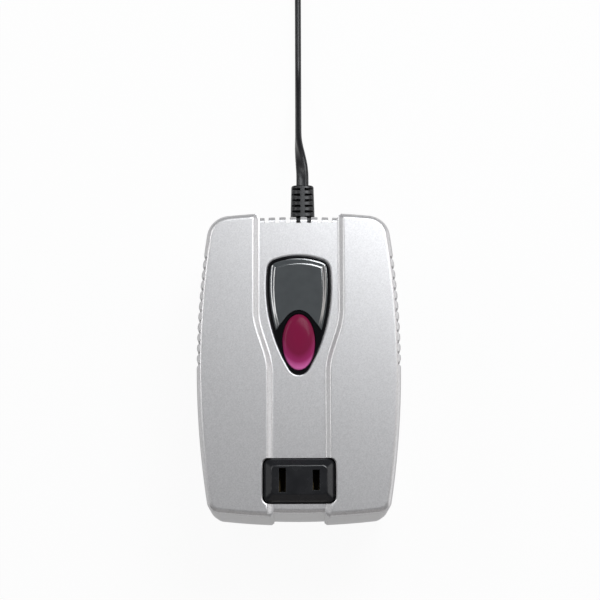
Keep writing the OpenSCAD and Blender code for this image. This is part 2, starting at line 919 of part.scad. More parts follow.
module outlet_back() {
    color(black) difference() {
        block([outlet_plate_w, outlet_l, outlet_plate_t], [0, outlet_y], outlet_plate_z);
        for (s = [-1, 1]) {
            block([tail_t + 2 * seat_gap, tail_w + 2 * seat_gap, outlet_plate_t + 2 * cut],
                [s * slot_pitch / 2, outlet_y], outlet_plate_z - cut);
            column(s * outlet_boss_x, outlet_y, outlet_plate_z - cut, outlet_z + cut,
                small_screw_r + shank_room);
        }
    }
}

module outlet_screws() {
    color(steel) for (s = [-1, 1])
        translate([s * outlet_boss_x, outlet_y, outlet_plate_z])
            screw_up(small_screw_r, small_screw_l, small_head_r, small_head_h);
}

// Transformer

module core_e() {
    color(steel) difference() {
        block([core_w, core_stack, core_h - core_leg_w], [0, core_y], core_z);
        for (s = [-1, 1])
            block([core_leg_w, core_stack + 2 * cut, core_h],
                [s * 1.5 * core_leg_w, core_y], window_low);
    }
}

module core_i() {
    color(steel) block([core_w, core_stack, core_leg_w], [0, core_y], window_high);
}

module bobbin() {
    inner_x = core_leg_w + seat_gap;
    inner_y = core_stack / 2 + seat_gap;
    low = window_low + seat_gap;
    high = window_high - seat_gap;
    color(cream) difference() {
        union() {
            block([2 * (inner_x + bobbin_t), 2 * (inner_y + bobbin_t), high - low], [0, core_y], low);
            for (z = [low, high - bobbin_t])
                block([2 * coil_side_x, 2 * coil_end_y, bobbin_t], [0, core_y], z);
        }
        block([2 * inner_x, 2 * inner_y, high - low + 2 * cut], [0, core_y], low - cut);
    }
}

module coil_ring(x0, y0, x1, y1) {
    low = window_low + seat_gap + bobbin_t;
    high = window_high - seat_gap - bobbin_t;
    difference() {
        block([2 * x1, 2 * y1, high - low], [0, core_y], low);
        block([2 * x0, 2 * y0, high - low + 2 * cut], [0, core_y], low - cut);
    }
}

module winding() {
    color(copper) coil_ring(
        core_leg_w + seat_gap + bobbin_t, core_stack / 2 + seat_gap + bobbin_t,
        coil_side_x - tape_t, coil_end_y - tape_t
    );
}

module winding_tape() {
    color("khaki") coil_ring(coil_side_x - tape_t, coil_end_y - tape_t, coil_side_x, coil_end_y);
}

module core_bracket() {
    outer = bracket_x + bracket_t;
    color(steel) difference() {
        union() {
            block([2 * outer, bracket_l, bracket_t], [0, core_y], bracket_top);
            for (s = [-1, 1]) {
                block([bracket_t, bracket_l, bracket_top + bracket_t - bracket_foot_z],
                    [s * (bracket_x + bracket_t / 2), core_y], bracket_foot_z);
                block([bracket_foot + bracket_t, bracket_foot_l, bracket_t],
                    [s * (bracket_x + (bracket_foot + bracket_t) / 2), core_y], bracket_foot_z);
            }
        }
        for (s = [-1, 1])
            column(s * bracket_hole_x, core_y, bracket_foot_z - cut, bracket_foot_z + bracket_t + cut,
                small_screw_r + shank_room);
    }
}

// Screws that point down have their seat on top of what they hold
module screw_down(x, y, z, l) {
    translate([x, y, z]) mirror([0, 0, 1]) screw_up(small_screw_r, l, small_head_r, small_head_h);
}

module bracket_screws() {
    seat_z = bracket_foot_z + bracket_t;
    color(steel) for (s = [-1, 1])
        screw_down(s * bracket_hole_x, core_y, seat_z, seat_z - floor_z);
}

module thermal_cutout() {
    color(black) block(cutout_size, [0, core_y - coil_end_y - cutout_size.y / 2], cutout_z);
}

// Terminals and fuse

module terminal_block() {
    color(cream) difference() {
        block([terminal_w, terminal_l, terminal_h], [0, terminal_y], terminal_z);
        for (s = [-1, 1])
            column(s * post_x, terminal_y, terminal_z - cut, terminal_z + terminal_h + cut,
                small_screw_r + shank_room);
    }
}

module terminal_screws() {
    color(steel) for (s = [-1, 1])
        screw_down(s * post_x, terminal_y, terminal_z + terminal_h, terminal_h + small_screw_l - cut);
}

module fuse_clips() {
    color(brass) for (s = [-1, 1]) translate([s * fuse_clip_x, terminal_y, terminal_z + terminal_h]) {
        block([fuse_clip_w, 2 * (fuse_r + fuse_clip_t + touch_gap), fuse_clip_t], [0, 0], 0);
        for (t = [-1, 1])
            block([fuse_clip_w, fuse_clip_t, fuse_clip_h],
                [0, t * (fuse_r + fuse_clip_t / 2 + touch_gap)], 0);
    }
}

module fuse_link() {
    color("white") translate([-fuse_l / 2, terminal_y, fuse_z]) rotate([0, 90, 0])
        cylinder(h = fuse_l, r = fuse_r);
}

// Selector

module selector_body() {
    color(black) difference() {
        union() {
            block([selector_block_w, selector_l, selector_h], [0, selector_y], floor_z);
            block([selector_w, 2 * small_boss_r, selector_ear_t], [0, selector_y],
                floor_z + selector_h - selector_ear_t);
        }
        block([carriage_w + selector_travel + 2 * slide_gap, carriage_l + 2 * slide_gap, selector_room + cut],
            [0, selector_y], floor_z - cut);
        for (s = [-1, 1])
            column(s * selector_ear_x, selector_y, floor_z, floor_z + selector_h + cut,
                small_screw_r + shank_room);
    }
}

module selector_slider() {
    color("white") translate([-selector_travel / 2, 0, 0]) difference() {
        union() {
            block([knob_w, knob_l, carriage_z - knob_z + weld], [0, selector_y], knob_z);
            block([carriage_w, carriage_l, carriage_t], [0, selector_y], carriage_z);
        }
        for (i = [-1 : 1])
            block([groove, knob_l + 2 * cut, 2 * groove], [i * groove_pitch, selector_y], knob_z - groove);
    }
}

module selector_screws() {
    color(steel) for (s = [-1, 1])
        screw_down(s * selector_ear_x, selector_y, floor_z + selector_h, selector_h - cut);
}

// Leads inside the case

module cord_cores() {
    color("saddlebrown") for (s = [-1, 1])
        along_y(cord_x + s * core_gap_x, terminal_y + terminal_l / 2, relief_inner_y, split_z,
            lead_r, lead_r);
}

module supply_leads() {
    color("saddlebrown") for (s = [-1, 1])
        along_y(s * supply_x, core_y + coil_end_y, terminal_y - terminal_l / 2, split_z, lead_r, lead_r);
}

module switch_leads() {
    top = board_z + board_t / 2;
    color("saddlebrown") for (s = [-1, 1]) tube(
        bent_path(
            [s * switch_lead_x, terminal_y, terminal_z + terminal_h],
            [s * switch_lead_x, terminal_y, top],
            [s * switch_lead_x, button_y + board_l / 2, top],
            lead_bend
        ),
        [1, 0, 0], lead_r
    );
}

module outlet_leads() {
    low = window_high - lead_up;
    color("saddlebrown") for (s = [-1, 1]) tube(
        bent_path(
            [s * slot_pitch / 2, outlet_y, outlet_plate_z - tail_l],
            [s * slot_pitch / 2, outlet_y, low],
            [s * slot_pitch / 2, core_y - coil_end_y, low],
            lead_bend
        ),
        [1, 0, 0], lead_r
    );
}

module selector_leads() {
    level = cutout_z - lead_under - lead_r;
    color("saddlebrown") for (s = [-1, 1]) tube(
        bent_path(
            [s * selector_lead_x, selector_y, floor_z + selector_h],
            [s * selector_lead_x, selector_y, level],
            [s * selector_lead_x, core_y - coil_end_y, level],
            selector_bend
        ),
        [1, 0, 0], lead_r
    );
}

// Cord

module strain_relief() {
    pitch = (relief_l - relief_rib_t) / (relief_ribs - 1);
    flange_y = back_wall_y - wall - seat_gap;
    color(black) {
        intersection() {
            along_y(cord_x, back_wall_y, relief_end_y, split_z, relief_r, relief_tip_r);
            union() {
                for (i = [0 : relief_ribs - 1])
                    translate([cord_x - relief_r, back_wall_y + i * pitch, split_z - relief_r])
                        cube([2 * relief_r, relief_rib_t, 2 * relief_r]);
                translate([cord_x - relief_spine / 2, back_wall_y, split_z - relief_r])
                    cube([relief_spine, relief_l, 2 * relief_r]);
            }
        }
        along_y(cord_x, back_wall_y - wall - weld, relief_end_y, split_z, neck_r, relief_tip_r - relief_core);
        along_y(cord_x, flange_y - relief_flange_t, flange_y, split_z, relief_flange_r, relief_flange_r);
        along_y(cord_x, relief_inner_y, back_wall_y - wall, split_z, neck_r - seat_gap, neck_r - seat_gap);
    }
}

// Middle of the free stretch: straight out of the strain relief, then aside and down to the table
function cord_point(s) = [
    cord_x - cord_drift * smooth(s / drift_l),
    relief_end_y + straight_l + s,
    split_z + (lay_z - split_z) * smooth(s / fall_l)
];
cord_route = concat(
    [[cord_x, relief_end_y, split_z]],
    [for (i = [0 : run_steps]) cord_point(run_l * i / run_steps)]
);

module cord_lead() {
    color(black) loft([
        for (i = [0 : len(cord_route) - 1])
            let (head = heading(cord_route, i), twist = 90 * smooth(i / twist_done))
            tube_ring(cord_route[i], head, level_side(head), cord_w, cord_t, twist, cord_sides)
    ]);
}

// Middle of the coil's cord: in along the lower layer, out along the upper one
coil_path = concat(
    [coil_start],
    [
        for (i = [0 : coil_turns * coil_rings])
            let (
                u = i / coil_rings,
                r = coil_r - coil_pitch * min(u, coil_turns - u),
                climb = smooth((u - coil_turns / 2) * 2 + 0.5)
            )
            [each turn(coil_centre, r, 360 * u), coil_z + coil_layer * climb]
    ],
    [[coil_start.x, plug_y, plug_z]]
);

coil_tube = [
    for (i = [0 : len(coil_path) - 1])
        let (head = heading(coil_path, i))
        tube_ring(coil_path[i], head, level_side(head), cord_w, cord_t, 90, coil_sides)
];

// Least distance between points of the coil's surface that are about a turn or more apart
coil_gap = min([
    for (i = [1 : len(coil_tube) - 1], k = [1 : coil_turns], d = [-1 : 1])
        let (j = i + k * coil_rings + d)
        if (j < len(coil_tube) - 1)
            min([for (p = coil_tube[i], q = coil_tube[j]) norm(p - q)])
]);

module cord_coil() {
    echo(coil_least_gap_mm = coil_gap);
    color(black) loft(coil_tube);
}

module cord_tie() {
    inner_r = coil_r - coil_pitch * coil_turns / 2 - cord_t / 2 - tie_gap;
    outer_r = coil_r - coil_pitch / 2 + cord_t / 2 + tie_gap;
    low = coil_z - cord_w / 2 - tie_gap;
    high = coil_z + coil_layer + cord_w / 2 + tie_gap;
    middle = [coil_centre.x - (inner_r + outer_r) / 2, coil_centre.y];
    color("dimgray") difference() {
        block([outer_r - inner_r + 2 * tie_t, tie_w, high - low + 2 * tie_t], middle, low - tie_t);
        block([outer_r - inner_r, tie_w + 2 * cut, high - low], middle, low);
    }
}

module plug_body() {
    color(black) {
        along_y(coil_start.x, plug_y, plug_y + plug_boot_l + weld, plug_z, cord_w / 2 + plug_boot[0],
            cord_w / 2 + plug_boot[1]);
        translate([coil_start.x, plug_y + plug_boot_l, plug_z]) rotate([-90, 0, 0])
            linear_extrude(plug_l) round_rect(plug_w, plug_h, plug_round);
    }
}

module plug_blades() {
    face_y = plug_y + plug_boot_l + plug_l;
    color(brass) for (s = [-1, 1])
        translate([coil_start.x + s * slot_pitch / 2, face_y + blade_l / 2, plug_z]) difference() {
            cube([blade_t, blade_l, blade_w], center = true);
            translate([0, blade_l / 2 - blade_hole_in, 0]) rotate([0, 90, 0])
                cylinder(h = 3 * blade_t, r = blade_hole_r, center = true);
        }
}

upper_cover();
lower_case();
case_screws();
rubber_feet();
badge_frame();
label_plate();
display_window();
power_button();
switch_plunger();
switch_body();
pilot_lamp();
switch_board();
board_screws();
outlet_housing();
neutral_contact();
live_contact();
outlet_back();
outlet_screws();
core_e();
core_i();
bobbin();
winding();
winding_tape();
core_bracket();
bracket_screws();
thermal_cutout();
terminal_block();
terminal_screws();
fuse_clips();
fuse_link();
selector_body();
selector_slider();
selector_screws();
cord_cores();
supply_leads();
switch_leads();
outlet_leads();
selector_leads();
strain_relief();
cord_lead();
cord_coil();
cord_tie();
plug_body();
plug_blades();
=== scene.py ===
# %% [markdown]
# # A travel voltage converter, dressed piece by piece
# The imported CAD model is the fixed frame: it says where everything is, in metres. This lesson adds
# what the solids lack: rounded mouldings, a flat twin cord, gloss, paint and moulded grain.

# %% Load the frame
import json
import math

import bmesh
import bpy
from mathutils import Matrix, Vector


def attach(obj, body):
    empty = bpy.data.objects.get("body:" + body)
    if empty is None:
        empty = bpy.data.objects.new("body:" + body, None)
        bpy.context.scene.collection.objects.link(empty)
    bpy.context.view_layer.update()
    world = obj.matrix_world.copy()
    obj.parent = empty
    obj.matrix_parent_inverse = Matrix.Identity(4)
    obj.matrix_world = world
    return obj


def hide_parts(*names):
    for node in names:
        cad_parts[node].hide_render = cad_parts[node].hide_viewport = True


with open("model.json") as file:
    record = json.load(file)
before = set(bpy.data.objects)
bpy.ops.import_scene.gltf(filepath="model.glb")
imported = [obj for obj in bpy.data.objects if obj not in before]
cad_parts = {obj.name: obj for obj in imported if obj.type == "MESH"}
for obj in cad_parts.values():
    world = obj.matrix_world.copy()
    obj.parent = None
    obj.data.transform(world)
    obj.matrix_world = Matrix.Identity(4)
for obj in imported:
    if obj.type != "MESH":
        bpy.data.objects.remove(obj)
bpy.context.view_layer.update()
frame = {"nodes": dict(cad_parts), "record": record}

nodes = frame["nodes"]
mm = 0.001


# %% [markdown]
# ## Camera
# The photograph looks down on the case from a little in front of it: the front wall shows as a
# thin strip, and the sides hardly at all. A long lens far away would flatten the shape too much,
# so the distance, tilt and focal length come from fitting the outline, the outlet's two slots and
# that strip of front wall in a frame of 600 by 600.

# %% Camera
look_at = Vector((0.1, 23.8, 65.4)) * mm
distance, tilt, roll = 700 * mm, math.radians(9.9), math.radians(-0.2)
sensor, focal_pixels, frame_pixels = 36, 1835, 600
backwards = Vector((0, -math.sin(tilt), math.cos(tilt)))
bpy.ops.object.camera_add(location=look_at + distance * backwards, rotation=(tilt, 0, roll))
camera = bpy.context.object
camera.name = "camera"
camera.data.sensor_width = sensor
camera.data.lens = sensor * focal_pixels / frame_pixels
camera.data.clip_start = 0.01
bpy.context.scene.camera = camera
bpy.context.scene.view_settings.view_transform = "Standard"
print("camera at", [round(c, 3) for c in camera.location], "lens", round(camera.data.lens, 1))

# %% [markdown]
# ## Working by hand in code
# Blender's operators act on whatever is selected, and loading the frame leaves its nodes selected.
# These few helpers select one piece, enter edit mode, and select faces or edges by a test of their
# place, which is what a hand and a mouse would do.


# %% Helpers for selecting
def take(piece):
    """Select only this piece, in object mode."""
    if bpy.context.object and bpy.context.object.mode != "OBJECT":
        bpy.ops.object.mode_set(mode="OBJECT")
    bpy.ops.object.select_all(action="DESELECT")
    piece.select_set(True)
    bpy.context.view_layer.objects.active = piece
    return piece


def edit(piece):
    """Open this piece in edit mode, with all of it selected."""
    take(piece)
    bpy.ops.object.mode_set(mode="EDIT")
    bpy.ops.mesh.select_mode(type="VERT")
    bpy.ops.mesh.select_all(action="SELECT")


def done():
    """Leave edit mode."""
    bpy.ops.object.mode_set(mode="OBJECT")
    return bpy.context.object


def new(add, name=None, **options):
    """Add a primitive with nothing else selected."""
    bpy.ops.object.select_all(action="DESELECT")
    add(**options)
    piece = bpy.context.object
    if name:
        piece.name = piece.data.name = name
    return piece


def lone_point(name):
    """A piece that is one vertex at the origin, open in edit mode."""
    piece = new(bpy.ops.mesh.primitive_plane_add, name, size=1)
    edit(piece)
    bpy.ops.mesh.merge(type="CENTER")
    return piece


def weld(near):
    """Merge all points of the open piece that lie this near to each other, in mm."""
    bpy.ops.mesh.select_all(action="SELECT")
    bpy.ops.mesh.remove_doubles(threshold=near * mm)


def pick(kind, test):
    """Select the vertices, edges or faces that pass a test, and say how many there are."""
    bpy.ops.mesh.select_mode(type=kind)
    bpy.ops.mesh.select_all(action="DESELECT")
    shape = bmesh.from_edit_mesh(bpy.context.object.data)
    kinds = {"VERT": shape.verts, "EDGE": shape.edges, "FACE": shape.faces}
    found = [e for e in kinds[kind] if test(e)]
    for e in found:
        e.select_set(True)
    bmesh.update_edit_mesh(bpy.context.object.data)
    return len(found)


def middle(edge):
    return (edge.verts[0].co + edge.verts[1].co) / 2


def at_height(edge, z, near=0.01):
    """Whether an edge lies at this height, in mm."""
    return abs(middle(edge).z / mm - z) < near


def sharp(edge, degrees):
    """Whether the two faces of an edge meet at more than this angle."""
    return len(edge.link_faces) == 2 and edge.calc_face_angle(0) > math.radians(degrees)


def faces_out():
    """Turn all faces of the open piece outwards."""
    bpy.ops.mesh.select_all(action="SELECT")
    bpy.ops.mesh.normals_make_consistent(inside=False)


def extrude(x=0, y=0, z=0):
    bpy.ops.mesh.extrude_region_move(TRANSFORM_OT_translate={"value": (x * mm, y * mm, z * mm)})


def bevel(width, segments):
    bpy.ops.mesh.bevel(offset=width * mm, segments=segments, affect="EDGES", clamp_overlap=True)


print("edit helpers ready")

# %% [markdown]
# ## Drawing an outline
# Every flat outline on this object is a chain of arcs that run smoothly into each other. A single
# vertex, spun about one arc's centre after another, draws such a chain; filling it gives a face
# that can be extruded. A polygon typed in by hand would have corners where the arcs meet.


# %% Outlines from spun arcs
def meet(c1, r1, c2, r2, side):
    """One of the two points where two circles cross."""
    (x1, y1), (x2, y2) = c1, c2
    d = math.hypot(x2 - x1, y2 - y1)
    along = (r1 * r1 - r2 * r2 + d * d) / (2 * d)
    across = side * math.sqrt(r1 * r1 - along * along)
    ux, uy = (x2 - x1) / d, (y2 - y1) / d
    return (x1 + along * ux - across * uy, y1 + along * uy + across * ux)


def angle(centre, point):
    return math.atan2(point[1] - centre[1], point[0] - centre[0])


def draw(name, arcs, z):
    """A filled outline at height z.

    An arc is its centre, its radius (0 for a corner), two angles and a number of steps.
    """
    piece = lone_point(name)
    here = Vector((0, 0, 0))
    for i, ((x, y), r, a, b, steps) in enumerate(arcs):
        first = Vector((x + r * math.cos(a), y + r * math.sin(a), z)) * mm
        if i == 0:
            bpy.ops.transform.translate(value=first)
        elif (first - here).length > 0.01 * mm:
            bpy.ops.mesh.extrude_region_move(TRANSFORM_OT_translate={"value": first - here})
        if r:
            centre = (x * mm, y * mm, z * mm)
            bpy.ops.mesh.spin(steps=steps, angle=b - a, center=centre, axis=(0, 0, -1))
        here = Vector((x + r * math.cos(b), y + r * math.sin(b), z)) * mm
    weld(0.005)
    bpy.ops.mesh.select_all(action="SELECT")
    bpy.ops.mesh.edge_face_add()
    return piece


def round_rectangle(w, l, r, y=0, steps=8):
    """The four corner arcs of a rectangle whose middle is at x = 0."""
    x0, y0, q = w / 2 - r, l / 2 - r, math.pi / 2
    centres = [(x0, y + y0), (-x0, y + y0), (-x0, y - y0), (x0, y - y0)]
    return [(c, r, i * q, (i + 1) * q, steps) for i, c in enumerate(centres)]


def oval(w, l, y, steps=64):
    """A filled oval at height 0, from a circle that is scaled."""
    edit(new(bpy.ops.mesh.primitive_circle_add, vertices=steps, radius=1, fill_type="NGON"))
    bpy.ops.transform.resize(value=(w / 2 * mm, l / 2 * mm, 1))
    bpy.ops.transform.translate(value=(0, y * mm, 0))


def raise_to(z0, z1):
    """Turn the selected flat outline at height z0 into a block up to z1."""
    extrude(z=z1 - z0)
    faces_out()
    return done()


def combine(piece, tool, how="DIFFERENCE"):
    """Cut a tool out of a piece, join it on or keep what they share; the tool is then deleted."""
    take(piece)
    change = piece.modifiers.new(how, "BOOLEAN")
    change.operation, change.object, change.solver = how, tool, "EXACT"
    bpy.ops.object.modifier_apply(modifier=how)
    bpy.data.objects.remove(tool)
    return piece


print("outline helpers ready")

# %% [markdown]
# ## The case's plan
# Seen from above, the case is a pillow of four long arcs, with round corners at the cord end and
# tighter ones at the outlet end. The values repeat those of the CAD source, so that the painted
# cover lies exactly where its solid does.

# %% Plan of the case
body_w, body_l, side_r, end_r = 78.6, 118.2, 340, 280
back_corner_r, front_corner_r = 9, 5
split_z, lobe_z, channel_z = 26, 64, 62.6
channel_step, wall, edge_r, draft = 1.5, 2.2, 2.25, 0.4


def body_arcs(length, inset=0):
    """The eight arcs of the plan, moved in by inset."""
    side_x, end_y = side_r - body_w / 2, end_r - length / 2
    spots = {}
    for r in (back_corner_r, front_corner_r):
        c = meet((-side_x, 0), side_r - r, (0, -end_y), end_r - r, 1)
        spots[r] = (c, angle((-side_x, 0), c), angle((0, -end_y), c))
    (cb, sb, eb), (cf, sf, ef) = spots[back_corner_r], spots[front_corner_r]
    half_turn = math.pi
    br, fr, sr, er = back_corner_r - inset, front_corner_r - inset, side_r - inset, end_r - inset
    return [
        (cb, br, sb, eb, 12),
        ((0, -end_y), er, eb, half_turn - eb, 20),
        ((-cb[0], cb[1]), br, half_turn - eb, half_turn - sb, 12),
        ((side_x, 0), sr, half_turn - sb, half_turn + sf, 28),
        ((-cf[0], -cf[1]), fr, half_turn + sf, half_turn + ef, 12),
        ((0, end_y), er, half_turn + ef, 2 * half_turn - ef, 20),
        ((cf[0], -cf[1]), fr, 2 * half_turn - ef, 2 * half_turn - sf, 12),
        ((-side_x, 0), sr, 2 * half_turn - sf, 2 * half_turn + sb, 28),
    ]


def smooth(t):
    """An even rise from 0 to 1 that starts and ends level."""
    t = min(max(t, 0), 1)
    return t * t * (3 - 2 * t)


print("plan of", body_w, "by", body_l, "mm, in", len(body_arcs(body_l)), "arcs")

# %% [markdown]
# ## Upper cover
# A painted plastic shell with two raised lobes and a sunk channel between them, which widens round
# the badge and runs over both ends. It could be sculpted, but it is a moulding with crisp, even
# fillets: so it is built as a toolmaker would, as a block with a rounded rim, from which the channel
# is cut. The cutter carries the fillets of both edges, because they catch the light in the picture.


# %% Cover: blocks and skins
def block(name, arcs, z0, z1, rim):
    """A block from z0 to z1 that leans in towards z1, where its rim is rounded."""
    draw(name, arcs, z0)
    extrude(z=z1 - z0)
    bpy.ops.transform.resize(value=(1 - 2 * draft / body_w, 1 - 2 * draft / body_l, 1))
    faces_out()
    if rim:
        pick("EDGE", lambda e: at_height(e, z1))
        bevel(rim, 8)
    return done()


def loft(name, rings):
    """A skin over rings of points in metres, one ring after another, with filled ends."""
    shape = bmesh.new()
    rows = [[shape.verts.new(p) for p in ring] for ring in rings]
    for near, far in zip(rows, rows[1:]):
        for k in range(len(near)):
            n = (k + 1) % len(near)
            shape.faces.new((near[k], near[n], far[n], far[k]))
    shape.faces.new(rows[0][::-1])
    shape.faces.new(rows[-1])
    bmesh.ops.recalc_face_normals(shape, faces=shape.faces)
    data = bpy.data.meshes.new(name)
    shape.to_mesh(data)
    shape.free()
    piece = bpy.data.objects.new(name, data)
    bpy.context.scene.collection.objects.link(piece)
    return piece


print("block and skin helpers ready")

# %% Cover: the channel's sides
channel_wide, channel_narrow, slope_w, fillet = 31, 20.4, 1.8, 0.6
curve_front, curve_back = -3.5, 20.5


def channel_half(y):
    """Half the width of the channel, which is wider round the badge than at the outlet."""
    opened = smooth((y - curve_front) / (curve_back - curve_front))
    return (channel_narrow + (channel_wide - channel_narrow) * opened) / 2


def channel_side():
    """One side of the channel from floor to lobe, both edges filleted: steps sideways and heights.

    Its ends lie just past the floor and the lobe, so that the cut leaves no skin there.
    """
    slant, past = math.atan2(lobe_z - channel_z, slope_w), 0.004
    r = fillet / math.tan(slant / 2)
    turns = [slant * i / 6 for i in range(7)]
    arc = [(r * math.sin(t), r * (1 - math.cos(t))) for t in turns]
    foot = [(x - fillet, channel_z + z) for x, z in arc]
    lip = [(slope_w + fillet - x, lobe_z - z) for x, z in reversed(arc)]
    foot[0], lip[-1] = (-fillet, channel_z - past), (slope_w + fillet, lobe_z + past)
    return foot + lip


print("channel from", channel_narrow, "to", channel_wide, "mm wide")

# %% Cover: the space between the lobes
lobe_corner, corner_low, past_wall = 2.6, 0.5, 0.08


def channel_space(low, high):
    """The space between the lobes: upright below its floor, sloped above it, wider at its ends.

    At the ends it rounds the lobes' corners. They lean with the walls, and shrink towards the parting
    line, where they meet the small corners of the lower case.
    """
    side, steps, r = channel_side(), 24, lobe_corner
    side = [(side[0][0], low), *side, (side[-1][0], high)]
    curve = [(curve_front + (curve_back - curve_front) * i / steps, 0) for i in range(steps + 1)]
    turns = [math.radians(15 * i) for i in range(7)]
    ends = []
    for y in (-body_l / 2, body_l / 2):
        corner_x = channel_half(y) + r - fillet
        wall_y = math.sqrt(end_r**2 - corner_x**2) - end_r + body_l / 2 + past_wall
        corner = [(wall_y - r + r * math.sin(t), r - r * math.cos(t)) for t in turns]
        ends.append(corner + [(wall_y + 3, r + 0.1)])
    rings = []
    for y, wider in [(-y, w) for y, w in reversed(ends[0])] + curve + ends[1]:
        section = []
        for x, z in side:
            up = (z - split_z) / (lobe_z - split_z)
            x += channel_half(y) + wider * (corner_low + (1 - corner_low) * up)
            section.append((x, y * (1 - 2 * draft / body_l * up), z))
        section += [(-x, y, z) for x, y, z in reversed(section)]
        rings.append([Vector(p) * mm for p in section])
    return loft("channel_space", rings)


print("lobe corners:", lobe_corner, "mm at the top,", lobe_corner * corner_low, "mm at the parting line")


# %% Cover: lobes and channel
def channel_core(z0, z1, rim):
    """The sunk floor between the lobes: a strip of a shorter body."""
    half, length = channel_wide / 2 + slope_w + 2, body_l - 2 * channel_step
    end_y = end_r - length / 2
    a = math.acos(half / end_r)
    back = ((0, -end_y), end_r, a, math.pi - a, 20)
    front = ((0, end_y), end_r, math.pi + a, 2 * math.pi - a, 20)
    return block("channel_core", [back, front], z0, z1, rim)


cover = block("painted_cover", body_arcs(body_l), split_z, lobe_z, edge_r)
combine(cover, channel_space(split_z - 4, lobe_z + 2))
combine(cover, channel_core(split_z, channel_z, edge_r), "UNION")
print("cover blank:", len(cover.data.polygons), "faces")

# %% [markdown]
# ### Hollow and bosses
# The shell is 2.2 mm thick. A Solidify modifier would give it that wall, but no bosses. So its hollow is
# cut with a smaller block from which the bosses for the screws are left standing, and the cover is a real
# moulding inside as well.


# %% Cover: simple cutters
def column(x, y, z0, z1, r):
    """An upright round bar."""
    size, place = dict(radius=r * mm, depth=(z1 - z0) * mm), (x * mm, y * mm, (z0 + z1) / 2 * mm)
    piece = new(bpy.ops.mesh.primitive_cylinder_add, vertices=32, location=place, **size)
    bpy.ops.object.transform_apply(location=True)
    return piece


def lay(piece, axis, place):
    """Lay down a piece that stands at the origin, and move it to its place."""
    edit(piece)
    bpy.ops.transform.rotate(value=math.radians(90), orient_axis=axis, center_override=(0, 0, 0))
    bpy.ops.transform.translate(value=tuple(c * mm for c in place))
    return done()


def bar(x0, x1, y0, y1, z0, z1):
    """A square-edged block between these limits."""
    edit(new(bpy.ops.mesh.primitive_cube_add, size=mm))
    bpy.ops.transform.resize(value=(x1 - x0, y1 - y0, z1 - z0))
    bpy.ops.transform.translate(value=((x0 + x1) / 2 * mm, (y0 + y1) / 2 * mm, (z0 + z1) / 2 * mm))
    return done()


def join(pieces):
    """Several separate bodies as one object."""
    take(pieces[0])
    for p in pieces[1:]:
        p.select_set(True)
    bpy.ops.object.join()
    return bpy.context.object


print("cutters ready")

# %% Cover: hollow with bosses
button_y, outlet_y, badge_wide_y, badge_z = 7.9, -44.7, 29.7, 61.4
core_l, cover_in = body_l - 2 * channel_step, channel_z - wall
hollow = block("hollow", body_arcs(core_l, wall), split_z - 4, cover_in, 0)
boss_x, boss_y, boss_r, boss_bore_r, boss_bore_z = body_w / 2 - 11.5, body_l / 2 - 13, 3.45, 1.5, 39
board_x, board_low, back_x, back_low, post_r, post_bore_r = 11.5, 50.8, 18.55, 46.4, 2.4, 1.05
board_bore, back_bore, badge_pin_x = (49.2, 57.2), (45.4, 52.4), 6.5
corners = [(sx * boss_x, sy * boss_y) for sx in (-1, 1) for sy in (-1, 1)]
bosses = [column(x, y, split_z, lobe_z, boss_r) for x, y in corners]
bores = [column(x, y, split_z - 2, boss_bore_z, boss_bore_r) for x, y in corners]
for s in (-1, 1):
    bosses.append(column(s * board_x, button_y, board_low, lobe_z, post_r))
    bosses.append(column(s * back_x, outlet_y, back_low, lobe_z, post_r))
    bores.append(column(s * board_x, button_y, *board_bore, post_bore_r))
    bores.append(column(s * back_x, outlet_y, *back_bore, post_bore_r))
    bores.append(column(s * badge_pin_x, badge_wide_y, cover_in - 1, badge_z + 0.2, post_bore_r))
for boss in bosses:
    combine(hollow, boss)
combine(cover, hollow)
combine(cover, join(bores))
print("cover is hollow:", len(cover.data.polygons), "faces")

# %% [markdown]
# ### Pockets and holes
# The badge sits in a shallow pocket that has its shield shape, and the outlet in a hole with a narrow
# gap round it. Both have a small chamfer, which catches the light as a thin line. A bevel of those edges
# would run into the channel's fillets, so each chamfer is cut with a skin between two outlines.

# %% Outlines of badge and button
badge_back_y, badge_back_r, badge_round = 41.7, 27, 4.3
badge_half, badge_tip = 24.9 / 2, -4.5 + badge_round
badge_deep = badge_wide_y - badge_tip
badge_side = (badge_deep**2 / (badge_half - badge_round) + badge_half + badge_round) / 2
badge_side_x = badge_side - badge_half


def badge_arcs(grow, steps=10):
    """The shield outline of the badge: two side arcs, a back arc, and round corners."""
    left, back, tip = (-badge_side_x, badge_wide_y), (0, badge_back_y - badge_back_r), (0, badge_tip)
    c = meet(left, badge_side - badge_round, back, badge_back_r - badge_round, 1)
    s, b, t = angle(left, c), angle(back, c), -angle(left, tip)
    half_turn = math.pi
    return [
        (c, badge_round + grow, s, b, steps),
        (back, badge_back_r + grow, b, half_turn - b, 2 * steps),
        ((-c[0], c[1]), badge_round + grow, half_turn - b, half_turn - s, steps),
        ((badge_side_x, badge_wide_y), badge_side + grow, half_turn - s, half_turn + t, 4 * steps),
        (tip, badge_round + grow, half_turn + t, 2 * half_turn - t, 2 * steps),
        (left, badge_side + grow, 2 * half_turn - t, 2 * half_turn + s, 4 * steps),
    ]


button_w, button_l = 12.4, 21.6


def oval_block(grow, z0, z1):
    """The button's oval as a block, made larger all round."""
    oval(button_w + 2 * grow, button_l + 2 * grow, button_y)
    bpy.ops.transform.translate(value=(0, 0, z0 * mm))
    return raise_to(z0, z1)


def prism(name, arcs, z0, z1):
    """An outline as an upright block."""
    draw(name, arcs, z0)
    return raise_to(z0, z1)


print("badge outline has", len(badge_arcs(0)), "arcs")

